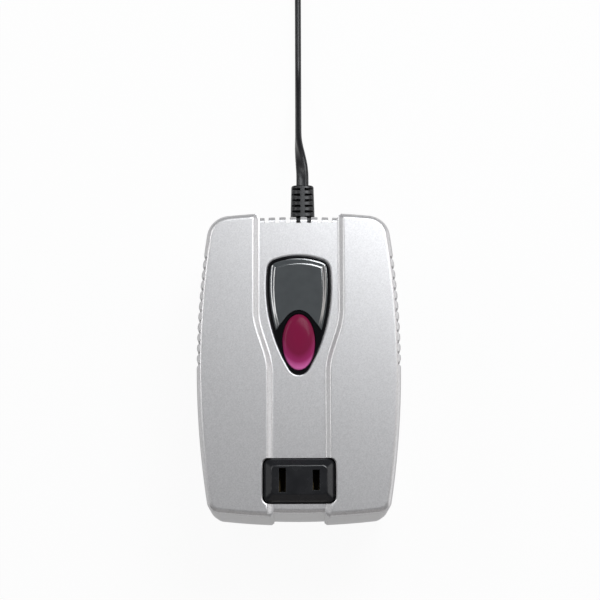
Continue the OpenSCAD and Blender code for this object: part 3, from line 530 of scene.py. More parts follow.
# %% Cover: pockets and holes
outlet_w, outlet_l, outlet_top, outlet_round, seat = 26.9, 16.8, 65.4, 2.6, 0.15
chamfer_w, chamfer_h, gap, lip_w, lip_h, relief_bore = 0.6, 0.22, 0.45, 0.5, 0.4, 3.75
past_chamfer = (-0.2, 1.4)


def outline_ring(arcs, z):
    """The points of a chain of arcs at a height, in metres."""
    points = []
    for (x, y), r, a, b, steps in arcs:
        turns = [a + (b - a) * i / steps for i in range(steps)]
        points += [Vector((x + r * math.cos(t), y + r * math.sin(t), z)) * mm for t in turns]
    return points


def outlet_outline(grow):
    """The outlet's outline, made larger on three sides; at the back the block touches the cover."""
    w, l = outlet_w + 2 * grow, outlet_l + grow + 0.1
    return round_rectangle(w, l, outlet_round, outlet_y + 0.05 - grow / 2)


combine(cover, prism("pocket", badge_arcs(seat), badge_z, lobe_z + 2))
chamfer = [
    outline_ring(badge_arcs(seat + chamfer_w * t), channel_z + chamfer_h * (t - 1)) for t in past_chamfer
]
combine(cover, loft("pocket_chamfer", chamfer))
combine(cover, oval_block(1.5, cover_in - 1, badge_z + 0.5))
combine(cover, prism("outlet_hole", outlet_outline(gap), 50, 70))
lip = [outline_ring(outlet_outline(gap + lip_w * t), lobe_z + lip_h * (t - 1)) for t in past_chamfer]
combine(cover, loft("outlet_chamfer", lip))
relief_x, relief_z = 1.7, split_z
combine(cover, lay(column(0, 0, 50, 62, relief_bore), "X", (relief_x, 0, relief_z)))
print("cover has its holes:", len(cover.data.polygons), "faces")

# %% [markdown]
# ### Vents
# Narrow slots through the walls let the warm air of the transformer out. Those at the sides end below the
# rim, where shallow grooves with rounded mouths carry them on and make the rim scalloped. Those at the
# back run over the rim like a comb. An array modifier could repeat one slot, but the side walls are
# curved, so each slot is placed on its own point of the wall. Small cuts leave tiny faces, which are
# cleaned up last.

# %% Cover: vents
vent, pitch, vent_z, vent_depth = 1.7, 4.1, lobe_z - 30, 3.1
side_vents, side_vents_y, groove, groove_half, groove_flare = 11, 20.2, 1.2, 0.5, 1.1
back_vents, back_vents_y, comb_half, comb_flare = 7, body_l / 2 - channel_step, 0.8, 0.6


def side_edge(y):
    """How far out the side wall stands at this y, in mm."""
    return math.sqrt(side_r**2 - y * y) - side_r + body_w / 2


def slot_tool(x, y, turn, depth, half, flare):
    """A slot that opens outwards at a point of the wall; the corners of its mouth are rounded."""
    q, c, s, mouth = math.pi / 2, math.cos(turn), math.sin(turn), half + flare
    outline = [
        (-depth, half, 0, 0, 0), (-depth, -half, 0, 0, 0), (-flare, -mouth, flare, q, 0),
        (1.5, -mouth, 0, 0, 0), (1.5, mouth, 0, 0, 0), (-flare, mouth, flare, 0, -q),
    ]
    arcs = [
        ((x + c * u - s * v, y + s * u + c * v), r, a + turn, b + turn, 6) for u, v, r, a, b in outline
    ]
    return prism("slot", arcs, vent_z, lobe_z + 1)


slots, grooves = [], []
for i in range(side_vents):
    y = side_vents_y + (i - side_vents // 2) * pitch
    x = side_edge(y)
    for side, turn in ((1, 0), (-1, math.pi)):
        near, far = sorted((side * (x - vent_depth), side * (x + 1)))
        slots.append(bar(near, far, y - vent / 2, y + vent / 2, vent_z, cover_in - 3))
        grooves.append(slot_tool(side * (x - draft), y, turn, groove, groove_half, groove_flare))
for i in range(back_vents):
    x, y = (i - back_vents // 2) * pitch, back_vents_y - draft
    slots.append(slot_tool(x, y, math.pi / 2, vent_depth - draft, comb_half, comb_flare))
combine(cover, join(slots))
combine(cover, join(grooves))
edit(cover)
weld(0.02)
bpy.ops.mesh.dissolve_degenerate(threshold=0.01 * mm)
bpy.ops.mesh.delete_loose()
done()
print("cover has", len(slots) - back_vents, "vents at the sides and", back_vents, "at the back")

# %% [markdown]
# ## Dressing a piece
# Each finished piece is treated alike: smooth shading up to an angle, with normals that favour the large
# faces, so that flat walls stay flat beside their fillets. Then it is hung on the body it rides on and
# given the finish it takes, and the CAD nodes it stands for are hidden.

# %% Dressing a piece
finishes = {}


def dressed(piece, slot, *stands_for, body="case", degrees=32):
    """Smooth shading with flat faces kept flat, then its body and its slot; the nodes it stands for are
    hidden.
    """
    take(piece)
    bpy.ops.object.shade_smooth_by_angle(angle=math.radians(degrees))
    change = piece.modifiers.new("flat faces", "WEIGHTED_NORMAL")
    change.weight, change.keep_sharp = 100, True
    bpy.ops.object.modifier_apply(modifier=change.name)
    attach(piece, body)
    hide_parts(*stands_for)
    finishes[piece] = slot
    print(piece.name, "has", len(piece.data.polygons), "faces")
    return piece


dressed(cover, "silver_paint", "upper_cover")

# %% [markdown]
# ## Lower case
# The lower half is a plain tray, mostly unseen. Its solid already has round edges in fine steps, so a
# copy with merged points and smooth shading is enough. The copy also carries the solid's own normals,
# one for each flat facet. They are cleared first, because they would show as dark patches once the
# points are merged.


# %% Lower case
def smooth_copy(name, slot, degrees=32):
    """A smooth-shaded copy of a CAD node; the node itself stays as it was."""
    node = nodes[name]
    piece = bpy.data.objects.new(name + "_piece", node.data.copy())
    bpy.context.scene.collection.objects.link(piece)
    piece.matrix_world = node.matrix_world.copy()
    take(piece)
    bpy.ops.object.transform_apply(location=True, rotation=True, scale=True)
    bpy.ops.mesh.customdata_custom_splitnormals_clear()
    piece.data.materials.clear()
    edit(piece)
    weld(0.002)
    bpy.ops.mesh.dissolve_degenerate(threshold=0.01 * mm)
    done()
    return dressed(piece, slot, name, degrees=degrees)


smooth_copy("lower_case", "silver_paint", degrees=20)

# %% [markdown]
# ## Badge
# A gloss black shield, moulded in one piece, with a recess for the window and a ring for the button.
# It could be inset in the cover's own face, but it is a separate moulding with two pins, so it is raised
# from its outline. Its outer edge is softly rounded and stands a little proud of the channel.

# %% Badge frame
badge_top, border, window_front, ring_w, plate_z, ring_gap = 63.3, 1.3, 12.6, 1.6, 62.2, 0.25
pin_low, pin_top, pin_r = 59.8, 61.9, 1
badge = prism("badge", badge_arcs(0), badge_z, badge_top)
edit(badge)
pick("EDGE", lambda e: at_height(e, badge_top))
bevel(0.5, 4)
done()


def window_prism(name, grow, z0, z1):
    """The window's outline as a block: it ends in two points beside the button's arch."""
    piece = prism(name, badge_arcs(grow - border), z0, z1)
    combine(piece, bar(-20, 20, -20, window_front - grow, z0 - 1, z1 + 1))
    corner = math.sqrt((badge_side - border) ** 2 - (badge_wide_y - window_front) ** 2) - badge_side_x
    base = bar(-corner, corner, window_front - grow - 1, window_front - grow, z0 - 1, z1 + 1)
    arch = join([oval_block(ring_w - grow, z0 - 1, z1 + 1), base])
    edit(arch)
    bpy.ops.mesh.convex_hull()
    done()
    return combine(piece, arch)


combine(badge, window_prism("recess", seat, plate_z, 70))
combine(badge, oval_block(ring_gap, 50, 70))
for s in (-1, 1):
    combine(badge, column(s * badge_pin_x, badge_wide_y, pin_low, pin_top, pin_r), "UNION")
edit(badge)
print("inner rim edges:", pick("EDGE", lambda e: sharp(e, 60) and at_height(e, badge_top)))
bevel(0.2, 2)
done()
dressed(badge, "gloss_black", "badge_frame")

# %% [markdown]
# ## Window
# A smoked lens over a plain plate. Its top is a pillow: flat in the middle, falling away towards the
# sides and the back, where the light draws bright strips. A grid is shaped into that pillow and used
# as a cutter, because a bevel would also fall away along the edge beside the button.

# %% Window lens
window_z, window_top, lens_slope, lens_drop = 62.5, 63.7, 2.3, 0.7
grid_half_w, grid_half_l, grid_y = 14, 18, 28


def into_lens(x, y):
    """Distance from the lens's side and back edges, in mm."""
    sides = [badge_side - border - math.hypot(x - c * badge_side_x, y - badge_wide_y) for c in (-1, 1)]
    return min(*sides, badge_back_r - border - math.hypot(x, y - badge_back_y + badge_back_r))


above = new(bpy.ops.mesh.primitive_grid_add, x_subdivisions=90, y_subdivisions=120, size=2 * mm)
edit(above)
bpy.ops.transform.resize(value=(grid_half_w, grid_half_l, 1))
bpy.ops.transform.translate(value=(0, grid_y * mm, 0))
done()
for v in above.data.vertices:
    fall = 1 - smooth(into_lens(v.co.x / mm, v.co.y / mm) / lens_slope)
    v.co.z = (window_top - lens_drop * fall) * mm
edit(above)
extrude(z=6)
faces_out()
done()
lens = window_prism("window_lens", 0, window_z, window_top + 1)
combine(lens, above)
dressed(lens, "smoked_window", "display_window", degrees=40)
smooth_copy("label_plate", "label_grey")

# %% [markdown]
# ## Power button
# A translucent oval cap that is pressed down and springs back. Half a sphere, flattened to an oval,
# gives the dome, and its top is pushed out a little, because the real cap is flat in the middle and
# round at the rim. The open edge is extruded down to the flange that keeps the cap under the frame.

# %% Power button
flange_top, flange_low, flange_w = 61.2, 60.2, 0.9
dome, flat_middle, round_rim = 1.5, 3, 0.45
ball = bpy.ops.mesh.primitive_uv_sphere_add
button = new(ball, "button_cap", segments=72, ring_count=36, radius=mm)
edit(button)
pick("VERT", lambda v: v.co.z < -0.01 * mm)
bpy.ops.mesh.delete(type="VERT")
bpy.ops.mesh.select_all(action="SELECT")
bpy.ops.transform.resize(value=(button_w / 2, button_l / 2, dome))
bpy.ops.transform.translate(value=(0, button_y * mm, badge_top * mm))
pick("EDGE", lambda e: len(e.link_faces) == 1)
extrude(z=flange_top - badge_top)
extrude()
bpy.ops.transform.resize(value=(1 + 2 * flange_w / button_w, 1 + 2 * flange_w / button_l, 1))
extrude(z=flange_low - flange_top)
bpy.ops.mesh.edge_face_add()
faces_out()
done()
for v in button.data.vertices:
    if v.co.z > badge_top * mm:
        out = math.hypot(v.co.x / button_w, (v.co.y - button_y * mm) / button_l) * 2 / mm
        v.co.z = (badge_top + dome * (1 - min(out, 1) ** flat_middle) ** round_rim) * mm
dressed(button, "magenta_lens", "power_button", body="button")

# %% [markdown]
# ## Outlet
# A black moulded block with a broad bevel and two slots: the longer one on the left is the neutral.
# A bevel operator alone would bevel all its edges alike. So the block is drawn, raised and narrowed
# towards its face; then the slots are cut through to the brass contacts, and all the edges that
# fingers and plugs touch are rounded.

# %% Outlet
shoulder_z, shoulder_w, bevel_low, bevel_in = 60.3, 1.8, 63.0, 2.9
slot_pitch, slot_w, neutral_l, live_l = 12.7, 2.6, 9.0, 7.6
foot_plan = round_rectangle(outlet_w + shoulder_w, outlet_l, outlet_round, outlet_y)
face_plan = round_rectangle(outlet_w, outlet_l, outlet_round, outlet_y)
outlet = prism("outlet_block", foot_plan, back_low, shoulder_z)
face = draw("outlet_face", face_plan, shoulder_z - 0.5)
extrude(z=bevel_low - shoulder_z + 0.5)
extrude(z=outlet_top - bevel_low)
bpy.ops.transform.resize(value=(1 - 2 * bevel_in / outlet_w, 1 - 2 * bevel_in / outlet_l, 1))
faces_out()
pick("EDGE", lambda e: sharp(e, 20) and at_height(e, bevel_low))
bevel(1.2, 6)
pick("EDGE", lambda e: sharp(e, 20) and at_height(e, outlet_top))
bevel(0.4, 4)
done()
combine(outlet, face, "UNION")
for x, l in ((-slot_pitch / 2, neutral_l), (slot_pitch / 2, live_l)):
    combine(outlet, bar(x - slot_w / 2, x + slot_w / 2, outlet_y - l / 2, outlet_y + l / 2, 45, 70))
edit(outlet)
weld(0.01)
print("slot edges:", pick("EDGE", lambda e: sharp(e, 60) and at_height(e, outlet_top, 0.02)))
bevel(0.2, 3)
done()
dressed(outlet, "black_plastic", "outlet_housing")

# %% [markdown]
# ## Strain relief
# A tapered rubber sleeve, moulded round the cord. Rows of small pockets on its top and underside make
# it bend evenly, with a solid spine between them. A cone would do for the taper, but not for the neck
# and the flange that hold it in the wall: so a profile is spun about the cord's axis, and the part
# outside the case is then squared off a little, as it is flatter than round.

# %% Strain relief
relief_start, relief_end, relief_r, relief_tip, relief_w, relief_h = 57.6, 77.4, 4.8, 4.3, 1.06, 0.86
profile = [
    (49.1, 0), (49.1, 3.45), (52.65, 3.45), (52.65, 5.2), (55.25, 5.2), (55.25, 3.6),
    (relief_start, 3.6), (relief_start, 4.5), (57.8, relief_r), (76.9, relief_tip), (77.2, 4.2),
    (77.35, 4.05), (relief_end, 3.8), (relief_end, 0),
]
relief = lone_point("relief_sleeve")
bpy.ops.transform.translate(value=(relief_x * mm, profile[0][0] * mm, relief_z * mm))
for (y0, r0), (y1, r1) in zip(profile, profile[1:]):
    extrude(x=r1 - r0, y=y1 - y0)
bpy.ops.mesh.select_all(action="SELECT")
axis_at = (relief_x * mm, 0, relief_z * mm)
bpy.ops.mesh.spin(steps=64, angle=2 * math.pi, center=axis_at, axis=(0, 1, 0))
weld(0.01)
faces_out()
done()
for v in relief.data.vertices:
    x, z = v.co.x - relief_x * mm, v.co.z - relief_z * mm
    if v.co.y > (relief_start + 0.1) * mm and max(abs(x), abs(z)) > 0.1 * mm:
        square = math.hypot(x, z) / (abs(x) ** 3 + abs(z) ** 3) ** (1 / 3)
        v.co.x, v.co.z = relief_x * mm + relief_w * square * x, relief_z * mm + relief_h * square * z
ribs, rib_pitch, rib, spine, pocket_w, pocket_depth = 8, 2.325, 1.2, 1.7, 4.3, 1.9
pockets = []
for i in range(ribs):
    y0 = relief_start + i * rib_pitch + rib
    for s in (-1, 1):
        for u in (-1, 1):
            x0, x1 = sorted((relief_x + s * spine / 2, relief_x + s * pocket_w))
            z0, z1 = sorted((relief_z + u * pocket_depth, relief_z + u * 8))
            pockets.append(bar(x0, x1, y0, y0 + rib_pitch - rib, z0, z1))
combine(relief, join(pockets))
dressed(relief, "cord_black", "strain_relief")

# %% [markdown]
# ## Cord
# A flat twin cord: two insulated wires side by side with a groove between them. It leaves the sleeve
# lying flat, twists on edge as it falls to the table and ends in a tied coil. Rings of the twin
# section are placed along that line and skinned, since a bevelled curve can't twist with its path
# and keep the groove.

# %% Cord: line and twist
cord_w, cord_t, cord_shift, lay_z, layer = 5.0, 2.6, 1.6, 3.4, 5.6
run_l, run_steps, shift_l, drop_l = 118, 90, 18, 54
coil_r, coil_pitch, coil_turns, coil_steps, tail_l, tail_steps = 29.5, 3.2, 5, 72, 20, 12
coil_x, coil_y = relief_x - cord_shift - coil_r, 204.4
line = [(relief_x, relief_end - 4 + i, relief_z) for i in range(4)]
line += [(relief_x, relief_end + 0.5 * i, relief_z) for i in range(9)]
for i in range(1, run_steps + 1):
    s = run_l * i / run_steps
    x, z = relief_x - cord_shift * smooth(s / shift_l), relief_z + (lay_z - relief_z) * smooth(s / drop_l)
    line.append((x, relief_end + 4 + s, z))
run_points = len(line)
for i in range(coil_turns * coil_steps + 1):
    u = i / coil_steps
    r = coil_r - coil_pitch * min(u, coil_turns - u)
    climb = smooth((u - coil_turns / 2) * 2 + 0.5)
    a = 2 * math.pi * u
    line.append((coil_x + r * math.cos(a), coil_y + r * math.sin(a), lay_z + layer * climb))
for i in range(1, tail_steps + 1):
    line.append((coil_x + coil_r, coil_y + tail_l * i / tail_steps, lay_z + layer))
line = [Vector(p) * mm for p in line]


# %% Cord: twin section along the line
def twin(steps=10):
    """The section of two round wires side by side with a groove between, in mm."""
    r, half = cord_t / 2, math.radians(118)
    off, points = cord_w / 2 - r, []
    for x, start in ((off, -half), (-off, math.pi - half)):
        for i in range(steps + 1):
            a = start + 2 * half * i / steps
            points.append((x + r * math.cos(a), r * math.sin(a)))
    return points


on_edge, twist_l = math.radians(90), 24
rings = []
for i, p in enumerate(line):
    ahead = (line[min(i + 1, len(line) - 1)] - line[max(i - 1, 0)]).normalized()
    level = ahead.cross(Vector((0, 0, 1))).normalized()
    up = level.cross(ahead).normalized()
    turn = on_edge * smooth((p.y / mm - relief_end - 1) / twist_l) if i < run_points else on_edge
    wide = level * math.cos(turn) + up * math.sin(turn)
    thin = up * math.cos(turn) - level * math.sin(turn)
    rings.append([p + wide * x * mm + thin * y * mm for x, y in twin()])
cord = loft("flat_cord", rings)
dressed(cord, "cord_black", "cord_lead", "cord_coil", degrees=50)

# %% [markdown]
# ## Plug and tie
# Neither is in the picture, but a cord ends in a plug and travels tied up. The plug is a rounded
# block with a boot and two flat blades; the tie is a soft strap round one side of the coil. All are
# simple enough for a block whose edges are bevelled in two steps: the long ones first, with a large
# radius, and then those of the ends.

# %% Plug
plug_x, plug_y, plug_z = relief_x - cord_shift, coil_y + tail_l, 9.0
plug_half_w, plug_half_h, plug_back, plug_front = 11, 9, plug_y + 12, plug_y + 34
boot_r, boot_wide_r, boot_l = 3.7, 5.5, 13
sides = (plug_x - plug_half_w, plug_x + plug_half_w)
plug = bar(*sides, plug_back, plug_front, plug_z - plug_half_h, plug_z + plug_half_h)
plug.name = plug.data.name = "plug_moulding"
edit(plug)
pick("EDGE", lambda e: abs((e.verts[0].co - e.verts[1].co).y) > 10 * mm)
bevel(3, 6)
pick("EDGE", lambda e: sharp(e, 60))
bevel(1.0, 4)
done()
taper = dict(radius1=boot_r * mm, radius2=boot_wide_r * mm, depth=boot_l * mm)
boot = new(bpy.ops.mesh.primitive_cone_add, vertices=48, **taper)
lay(boot, "X", (plug_x, plug_y + boot_l / 2, plug_z))
combine(plug, boot, "UNION")
dressed(plug, "cord_black", "plug_body")

# %% Blades
blade_half_t, blade_half_w, blade_end, hole_y, hole_r = 0.75, 3.15, plug_y + 51, plug_y + 47, 1.5


def blade(x):
    """One flat blade with a rounded tip and a hole."""
    upright = (plug_z - blade_half_w, plug_z + blade_half_w)
    piece = bar(x - blade_half_t, x + blade_half_t, plug_front, blade_end, *upright)
    edit(piece)
    pick("EDGE", lambda e: abs(middle(e).y / mm - blade_end) < 0.01)
    bevel(0.5, 3)
    done()
    return combine(piece, lay(column(0, 0, -3, 3, hole_r), "Y", (x, hole_y, plug_z)))


blades = join([blade(plug_x - slot_pitch / 2), blade(plug_x + slot_pitch / 2)])
blades.name = blades.data.name = "plug_blade_pair"
dressed(blades, "contact_brass", "plug_blades")

# %% Tie
tie_x, tie_y, tie_half, tie_top, strap = coil_x - 24.7, coil_y, 5.4, 12.4, 0.7
tie = bar(tie_x - tie_half, tie_x + tie_half, tie_y - 2, tie_y + 2, 0, tie_top)
tie.name = tie.data.name = "coil_tie"
edit(tie)
pick("EDGE", lambda e: abs((e.verts[0].co - e.verts[1].co).y) > 3 * mm)
bevel(1.2, 5)
done()
loop_half = tie_half - strap
combine(tie, bar(tie_x - loop_half, tie_x + loop_half, tie_y - 5, tie_y + 5, strap, tie_top - strap))
dressed(tie, "tie_grey", "cord_tie")

# %% [markdown]
# ## Feet and screws
# Four rubber feet and the four screws that hold the case together are on the underside. Their solids
# have the right shape already and could stay as they are, but their round walls are faceted, so they
# are copied and smoothed as the lower case is.

# %% Feet and screws
smooth_copy("rubber_feet", "foot_rubber")
smooth_copy("case_screws", "screw_steel")

# %% [markdown]
# ## Finishes
# No real surface is one flat colour. Each finish is built from noise in the piece's own coordinates, in
# metres: one noise shifts the colour a little, a second makes the gloss patchy, and a fine third
# one gives the moulded grain. A photograph could be used instead, but it would carry its own light.


# %% Finish helper
def put(node, values):
    """Set inputs of a shader node by name."""
    for key, value in values.items():
        node.inputs[key].default_value = value


class Finish:
    """A procedural material that can be added to node by node."""

    def __init__(self, name, rough, metal=0.0, coat=0.0, gleam=0.5, edge=1.0):
        self.material = bpy.data.materials.new(name)
        self.material.use_nodes = True
        self.tree = self.material.node_tree
        self.shader = self.tree.nodes["Principled BSDF"]
        put(self.shader, {
            "Metallic": metal, "Roughness": rough, "Coat Weight": coat, "Coat Roughness": 0.05,
            "Specular IOR Level": gleam, "Specular Tint": (edge, edge, edge, 1),
        })
        self.place = self.add("ShaderNodeTexCoord").outputs["Object"]

    def add(self, kind, **settings):
        node = self.tree.nodes.new(kind)
        for key, value in settings.items():
            setattr(node, key, value)
        return node

    def link(self, a, b):
        self.tree.links.new(a, b)

    def noise(self, size):
        """Noise with features of about this size, in mm."""
        node = self.add("ShaderNodeTexNoise")
        put(node, {"Scale": 1 / (size * mm), "Detail": 3.0})
        self.link(self.place, node.inputs["Vector"])
        return node.outputs["Fac"]

    def ramp(self, value, stops):
        """Colours along a value, as (place, colour) pairs."""
        node = self.add("ShaderNodeValToRGB")
        points = node.color_ramp.elements
        while len(points) < len(stops):
            points.new(0.5)
        for point, (at, color) in zip(points, stops):
            point.position, point.color = at, (*color, 1)
        self.link(value, node.inputs["Fac"])
        return node.outputs["Color"]

    def spread(self, value, low, high, start=0.3, end=0.7):
        """A value mapped to a range."""
        node = self.add("ShaderNodeMapRange")
        put(node, {"From Min": start, "From Max": end, "To Min": low, "To Max": high})
        self.link(value, node.inputs["Value"])
        return node.outputs["Result"]

    def color(self, value):
        self.link(value, self.shader.inputs["Base Color"])

    def roughness(self, low, high, size):
        self.link(self.spread(self.noise(size), low, high), self.shader.inputs["Roughness"])

    def bump(self, value, height):
        """Relief of this height, in mm."""
        node = self.add("ShaderNodeBump")
        put(node, {"Strength": 1.0, "Distance": height * mm})
        self.link(value, node.inputs["Height"])
        self.link(node.outputs["Normal"], self.shader.inputs["Normal"])


def shade(color, amount):
    return tuple(c * amount for c in color)


def moulded(name, color, rough, tint=0.08, tint_size=3.0, grain=0.004, grain_size=0.35, **options):
    """A plain moulded, cast or rolled surface."""
    f = Finish(name, rough, **options)
    f.color(f.ramp(f.noise(tint_size), [(0.3, shade(color, 1 - tint)), (0.7, shade(color, 1 + tint))]))
    f.roughness(rough * 0.85, min(rough * 1.15, 1), 6)
    f.bump(f.noise(grain_size), grain)
    return f


materials = {}
print("finish helper ready")

# %% [markdown]
# ### Silver paint
# The case is plastic with a metallic paint: small flakes of aluminium in a clear lacquer. A grey metal
# would be too mirror-like, so the shader is only partly metallic. Small cells, each a little lighter or
# darker, are the flakes. They lie flat in the paint, so it gets darker where it is seen at a slant, on
# the walls and the rim: the shader's dark specular tint does that.

# %% Silver paint
flake_size, dark_flake, light_flake = 0.4, (0.56, 0.555, 0.56), (0.66, 0.655, 0.66)
silver = Finish("silver_paint", 0.34, metal=0.55, edge=0.3)
flake = silver.add("ShaderNodeTexVoronoi")
put(flake, {"Scale": 1 / (flake_size * mm)})
silver.link(silver.place, flake.inputs["Vector"])
silver.color(silver.ramp(flake.outputs["Color"], [(0.1, dark_flake), (0.9, light_flake)]))
silver.roughness(0.32, 0.36, 0.8)
silver.bump(silver.noise(0.5), 0.0015)
materials["silver_paint"] = silver
print("silver paint:", len(silver.tree.nodes), "nodes")

# %% [markdown]
# ### Button lens
# The cap is tinted through and through. Light that enters it at the back gathers in its front rim,
# which glows pink, while the middle stays a deep magenta. A transparent shader would need a lit inside
# to show that, so the glow is painted into the colour as painted light, by how far a point is from the
# middle of the oval and how near it is to the front.

# %% Button lens
cap = Finish("magenta_lens", 0.16, gleam=0.05)
parts = cap.add("ShaderNodeSeparateXYZ")
cap.link(cap.place, parts.inputs["Vector"])
front_y, back_y = (button_y - button_l / 2) * mm, (button_y + button_l / 2) * mm
across = cap.spread(parts.outputs["X"], -1, 1, -button_w / 2 * mm, button_w / 2 * mm)
along = cap.spread(parts.outputs["Y"], 1, -1, front_y, back_y)
joined = cap.add("ShaderNodeCombineXYZ")
cap.link(across, joined.inputs["X"])
cap.link(along, joined.inputs["Y"])
radius = cap.add("ShaderNodeVectorMath", operation="LENGTH")
cap.link(joined.outputs["Vector"], radius.inputs[0])
painted_glow_at = cap.add("ShaderNodeMath", operation="MULTIPLY_ADD")
painted_glow_at.inputs[1].default_value = 0.6
cap.link(radius.outputs["Value"], painted_glow_at.inputs[0])
front = cap.spread(along, -0.4, 0.4, -1, 1)
cap.link(front, painted_glow_at.inputs[2])
# The pink stops towards the rim are painted light; the dark stops are the cap's own magenta.
cap.color(cap.ramp(painted_glow_at.outputs["Value"], [
    (0.0, (0.20, 0.012, 0.050)), (0.45, (0.19, 0.014, 0.052)),
    (0.72, (0.32, 0.028, 0.13)), (0.93, (0.72, 0.16, 0.44)),
]))
cap.roughness(0.12, 0.20, 3)
cap.bump(cap.noise(2.0), 0.0004)
materials["magenta_lens"] = cap
print("button lens:", len(cap.tree.nodes), "nodes")

# %% [markdown]
# ### Other finishes
# The rest is moulded, rolled or drawn, and one recipe fits all: a colour, a gloss and a grain. The
# outlet's two contacts are brass, but deep in their slots they get a dark, dull brown: painted shade, so
# that the slots read dark.

# %% Other finishes
plain_finishes = {
    "screw_steel": ((0.55, 0.56, 0.58), 0.30, dict(metal=1.0, grain=0.001)),
    "foot_rubber": ((0.030, 0.030, 0.034), 0.75, dict(grain=0.012)),
    "gloss_black": ((0.005, 0.005, 0.006), 0.10, dict(grain=0.0004, grain_size=1.5, gleam=0.25)),
    "label_grey": ((0.20, 0.21, 0.21), 0.45, dict(tint=0.05)),
    "smoked_window": (
        (0.070, 0.077, 0.081), 0.12, dict(tint=0.04, grain=0.0003, grain_size=2, coat=1.0, gleam=1.0),
    ),
    "cream_plastic": ((0.70, 0.65, 0.52), 0.50, dict()),
    "black_plastic": ((0.014, 0.0145, 0.0165), 0.25, dict(grain=0.002, grain_size=0.3, gleam=0.4)),
    "lamp_amber": ((0.75, 0.28, 0.05), 0.12, dict(grain=0.0005)),
    "board_green": ((0.02, 0.12, 0.05), 0.35, dict(tint=0.15)),
    "contact_brass": ((0.70, 0.52, 0.22), 0.28, dict(metal=1.0, grain=0.001)),
    # Much darker than brass: painted shade for the depth of the outlet's slots.
    "contact_painted_shade": ((0.10, 0.075, 0.035), 0.45, dict(metal=0.8, tint=0.2, grain=0.002)),
    "core_steel": ((0.28, 0.28, 0.30), 0.40, dict(metal=0.9, tint=0.15)),
    "winding_copper": ((0.50, 0.20, 0.07), 0.30, dict(metal=0.8, tint=0.2, tint_size=0.8)),
    "winding_tape": ((0.62, 0.52, 0.17), 0.35, dict(tint=0.1)),
    "bracket_steel": ((0.50, 0.51, 0.53), 0.32, dict(metal=1.0)),
    "fuse_ceramic": ((0.78, 0.78, 0.75), 0.20, dict(tint=0.03)),
    "selector_white": ((0.74, 0.74, 0.72), 0.45, dict(tint=0.03)),
    "lead_brown": ((0.16, 0.06, 0.03), 0.45, dict(tint=0.15)),
    "cord_black": ((0.013, 0.0132, 0.0148), 0.36, dict(grain=0.004, grain_size=0.25, gleam=0.35)),
    "tie_grey": ((0.08, 0.08, 0.085), 0.6, dict(grain=0.01, grain_size=0.2)),
}
for name, (color, rough, options) in plain_finishes.items():
    materials[name] = moulded(name, color, rough, **options)

for part in frame["record"]["subparts"]:
    node = nodes[part["node"]]
    node.data.materials.clear()
    node.data.materials.append(materials[part["material_slot"]].material)
# The two contacts take the dark brass with painted shade.
for name in ("neutral_contact", "live_contact"):
    nodes[name].data.materials[0] = materials["contact_painted_shade"].material
for piece, slot in finishes.items():
    piece.data.materials.clear()
    piece.data.materials.append(materials[slot].material)
print("finishes:", len(materials), "pieces dressed:", len(finishes))

# %% [markdown]
# ## Floor
# The object is shown on plain white. A floor bright enough to look white would light the case from
# below, so this one is pale and gives white only to what looks at it: the camera, and the reflections
# in gloss. A small share of the pale floor is left in that white, for a soft shadow.

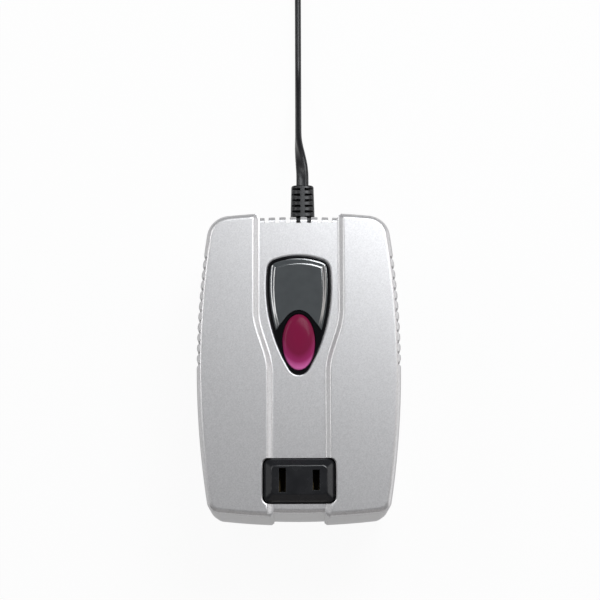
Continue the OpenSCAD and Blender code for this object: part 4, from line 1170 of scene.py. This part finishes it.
# %% Floor
floor = new(bpy.ops.mesh.primitive_plane_add, "floor", size=8, location=(0, 0, -0.0001))
pale, white_share = 0.82, 0.94
floor_look = bpy.data.materials.new("pale_floor")
floor_look.use_nodes = True
tree = floor_look.node_tree
matt = tree.nodes["Principled BSDF"]
put(matt, {"Base Color": (pale, pale, pale, 1), "Roughness": 0.9})
glow = tree.nodes.new("ShaderNodeEmission")
put(glow, {"Strength": 1.0})
soft, seen = tree.nodes.new("ShaderNodeMixShader"), tree.nodes.new("ShaderNodeMixShader")
put(soft, {"Fac": white_share})
ray = tree.nodes.new("ShaderNodeLightPath")
tree.links.new(matt.outputs["BSDF"], soft.inputs[1])
tree.links.new(glow.outputs["Emission"], soft.inputs[2])
shows = ray.outputs["Is Camera Ray"]
for kind in ("Is Glossy Ray", "Is Transmission Ray"):
    either = tree.nodes.new("ShaderNodeMath")
    either.operation = "MAXIMUM"
    tree.links.new(shows, either.inputs[0])
    tree.links.new(ray.outputs[kind], either.inputs[1])
    shows = either.outputs["Value"]
tree.links.new(shows, seen.inputs["Fac"])
tree.links.new(matt.outputs["BSDF"], seen.inputs[1])
tree.links.new(soft.outputs["Shader"], seen.inputs[2])
tree.links.new(seen.outputs["Shader"], tree.nodes["Material Output"].inputs["Surface"])
floor.data.materials.append(floor_look)
print("floor:", len(tree.nodes), "nodes")

# %% [markdown]
# ## Light
# In the picture the paint is bright at the cord end on the right and darker towards the outlet. One
# large soft lamp behind on the right does that, as its reflection spreads over the paint there. Two
# narrow lamps high on the left and right draw the bright strips on the window and the channel's edges,
# two low ones light the walls, and a weak one fills in from the front.

# %% Lights
world = bpy.data.worlds.new("studio")
bpy.context.scene.world = world
world.use_nodes = True
put(world.node_tree.nodes["Background"], {"Color": (0.9, 0.92, 0.95, 1), "Strength": 0.06})


def lamp(name, place, size, power, color):
    """A soft light of this width and length that faces the middle of the case."""
    bpy.ops.object.light_add(type="AREA", location=place)
    light = bpy.context.object
    light.name = name
    light.data.shape, light.data.energy, light.data.color = "RECTANGLE", power, color
    light.data.size, light.data.size_y = size
    aim = Vector((0, 0.02, 0.05)) - Vector(place)
    light.rotation_euler = aim.to_track_quat("-Z", "Y").to_euler()


cool, white, warm = (0.95, 0.975, 1.0), (1.0, 1.0, 1.0), (1.0, 0.93, 0.90)
lamps = [
    ("back_right", (0.20, 0.42, 0.78), (0.38, 0.38), 4.7, cool),
    ("left", (-0.42, 0.25, 0.62), (0.50, 0.12), 1.3, white),
    ("right", (0.46, 0.25, 0.62), (0.50, 0.12), 0.6, warm),
    ("low_left", (-0.90, 0.05, 0.30), (1.0, 0.5), 1.2, white),
    ("low_right", (0.90, 0.05, 0.30), (1.0, 0.5), 2.2, white),
    ("front", (0.0, -0.80, 0.50), (1.2, 0.8), 0.8, warm),
]
for settings in lamps:
    lamp(*settings)
print("lights:", len(lamps))
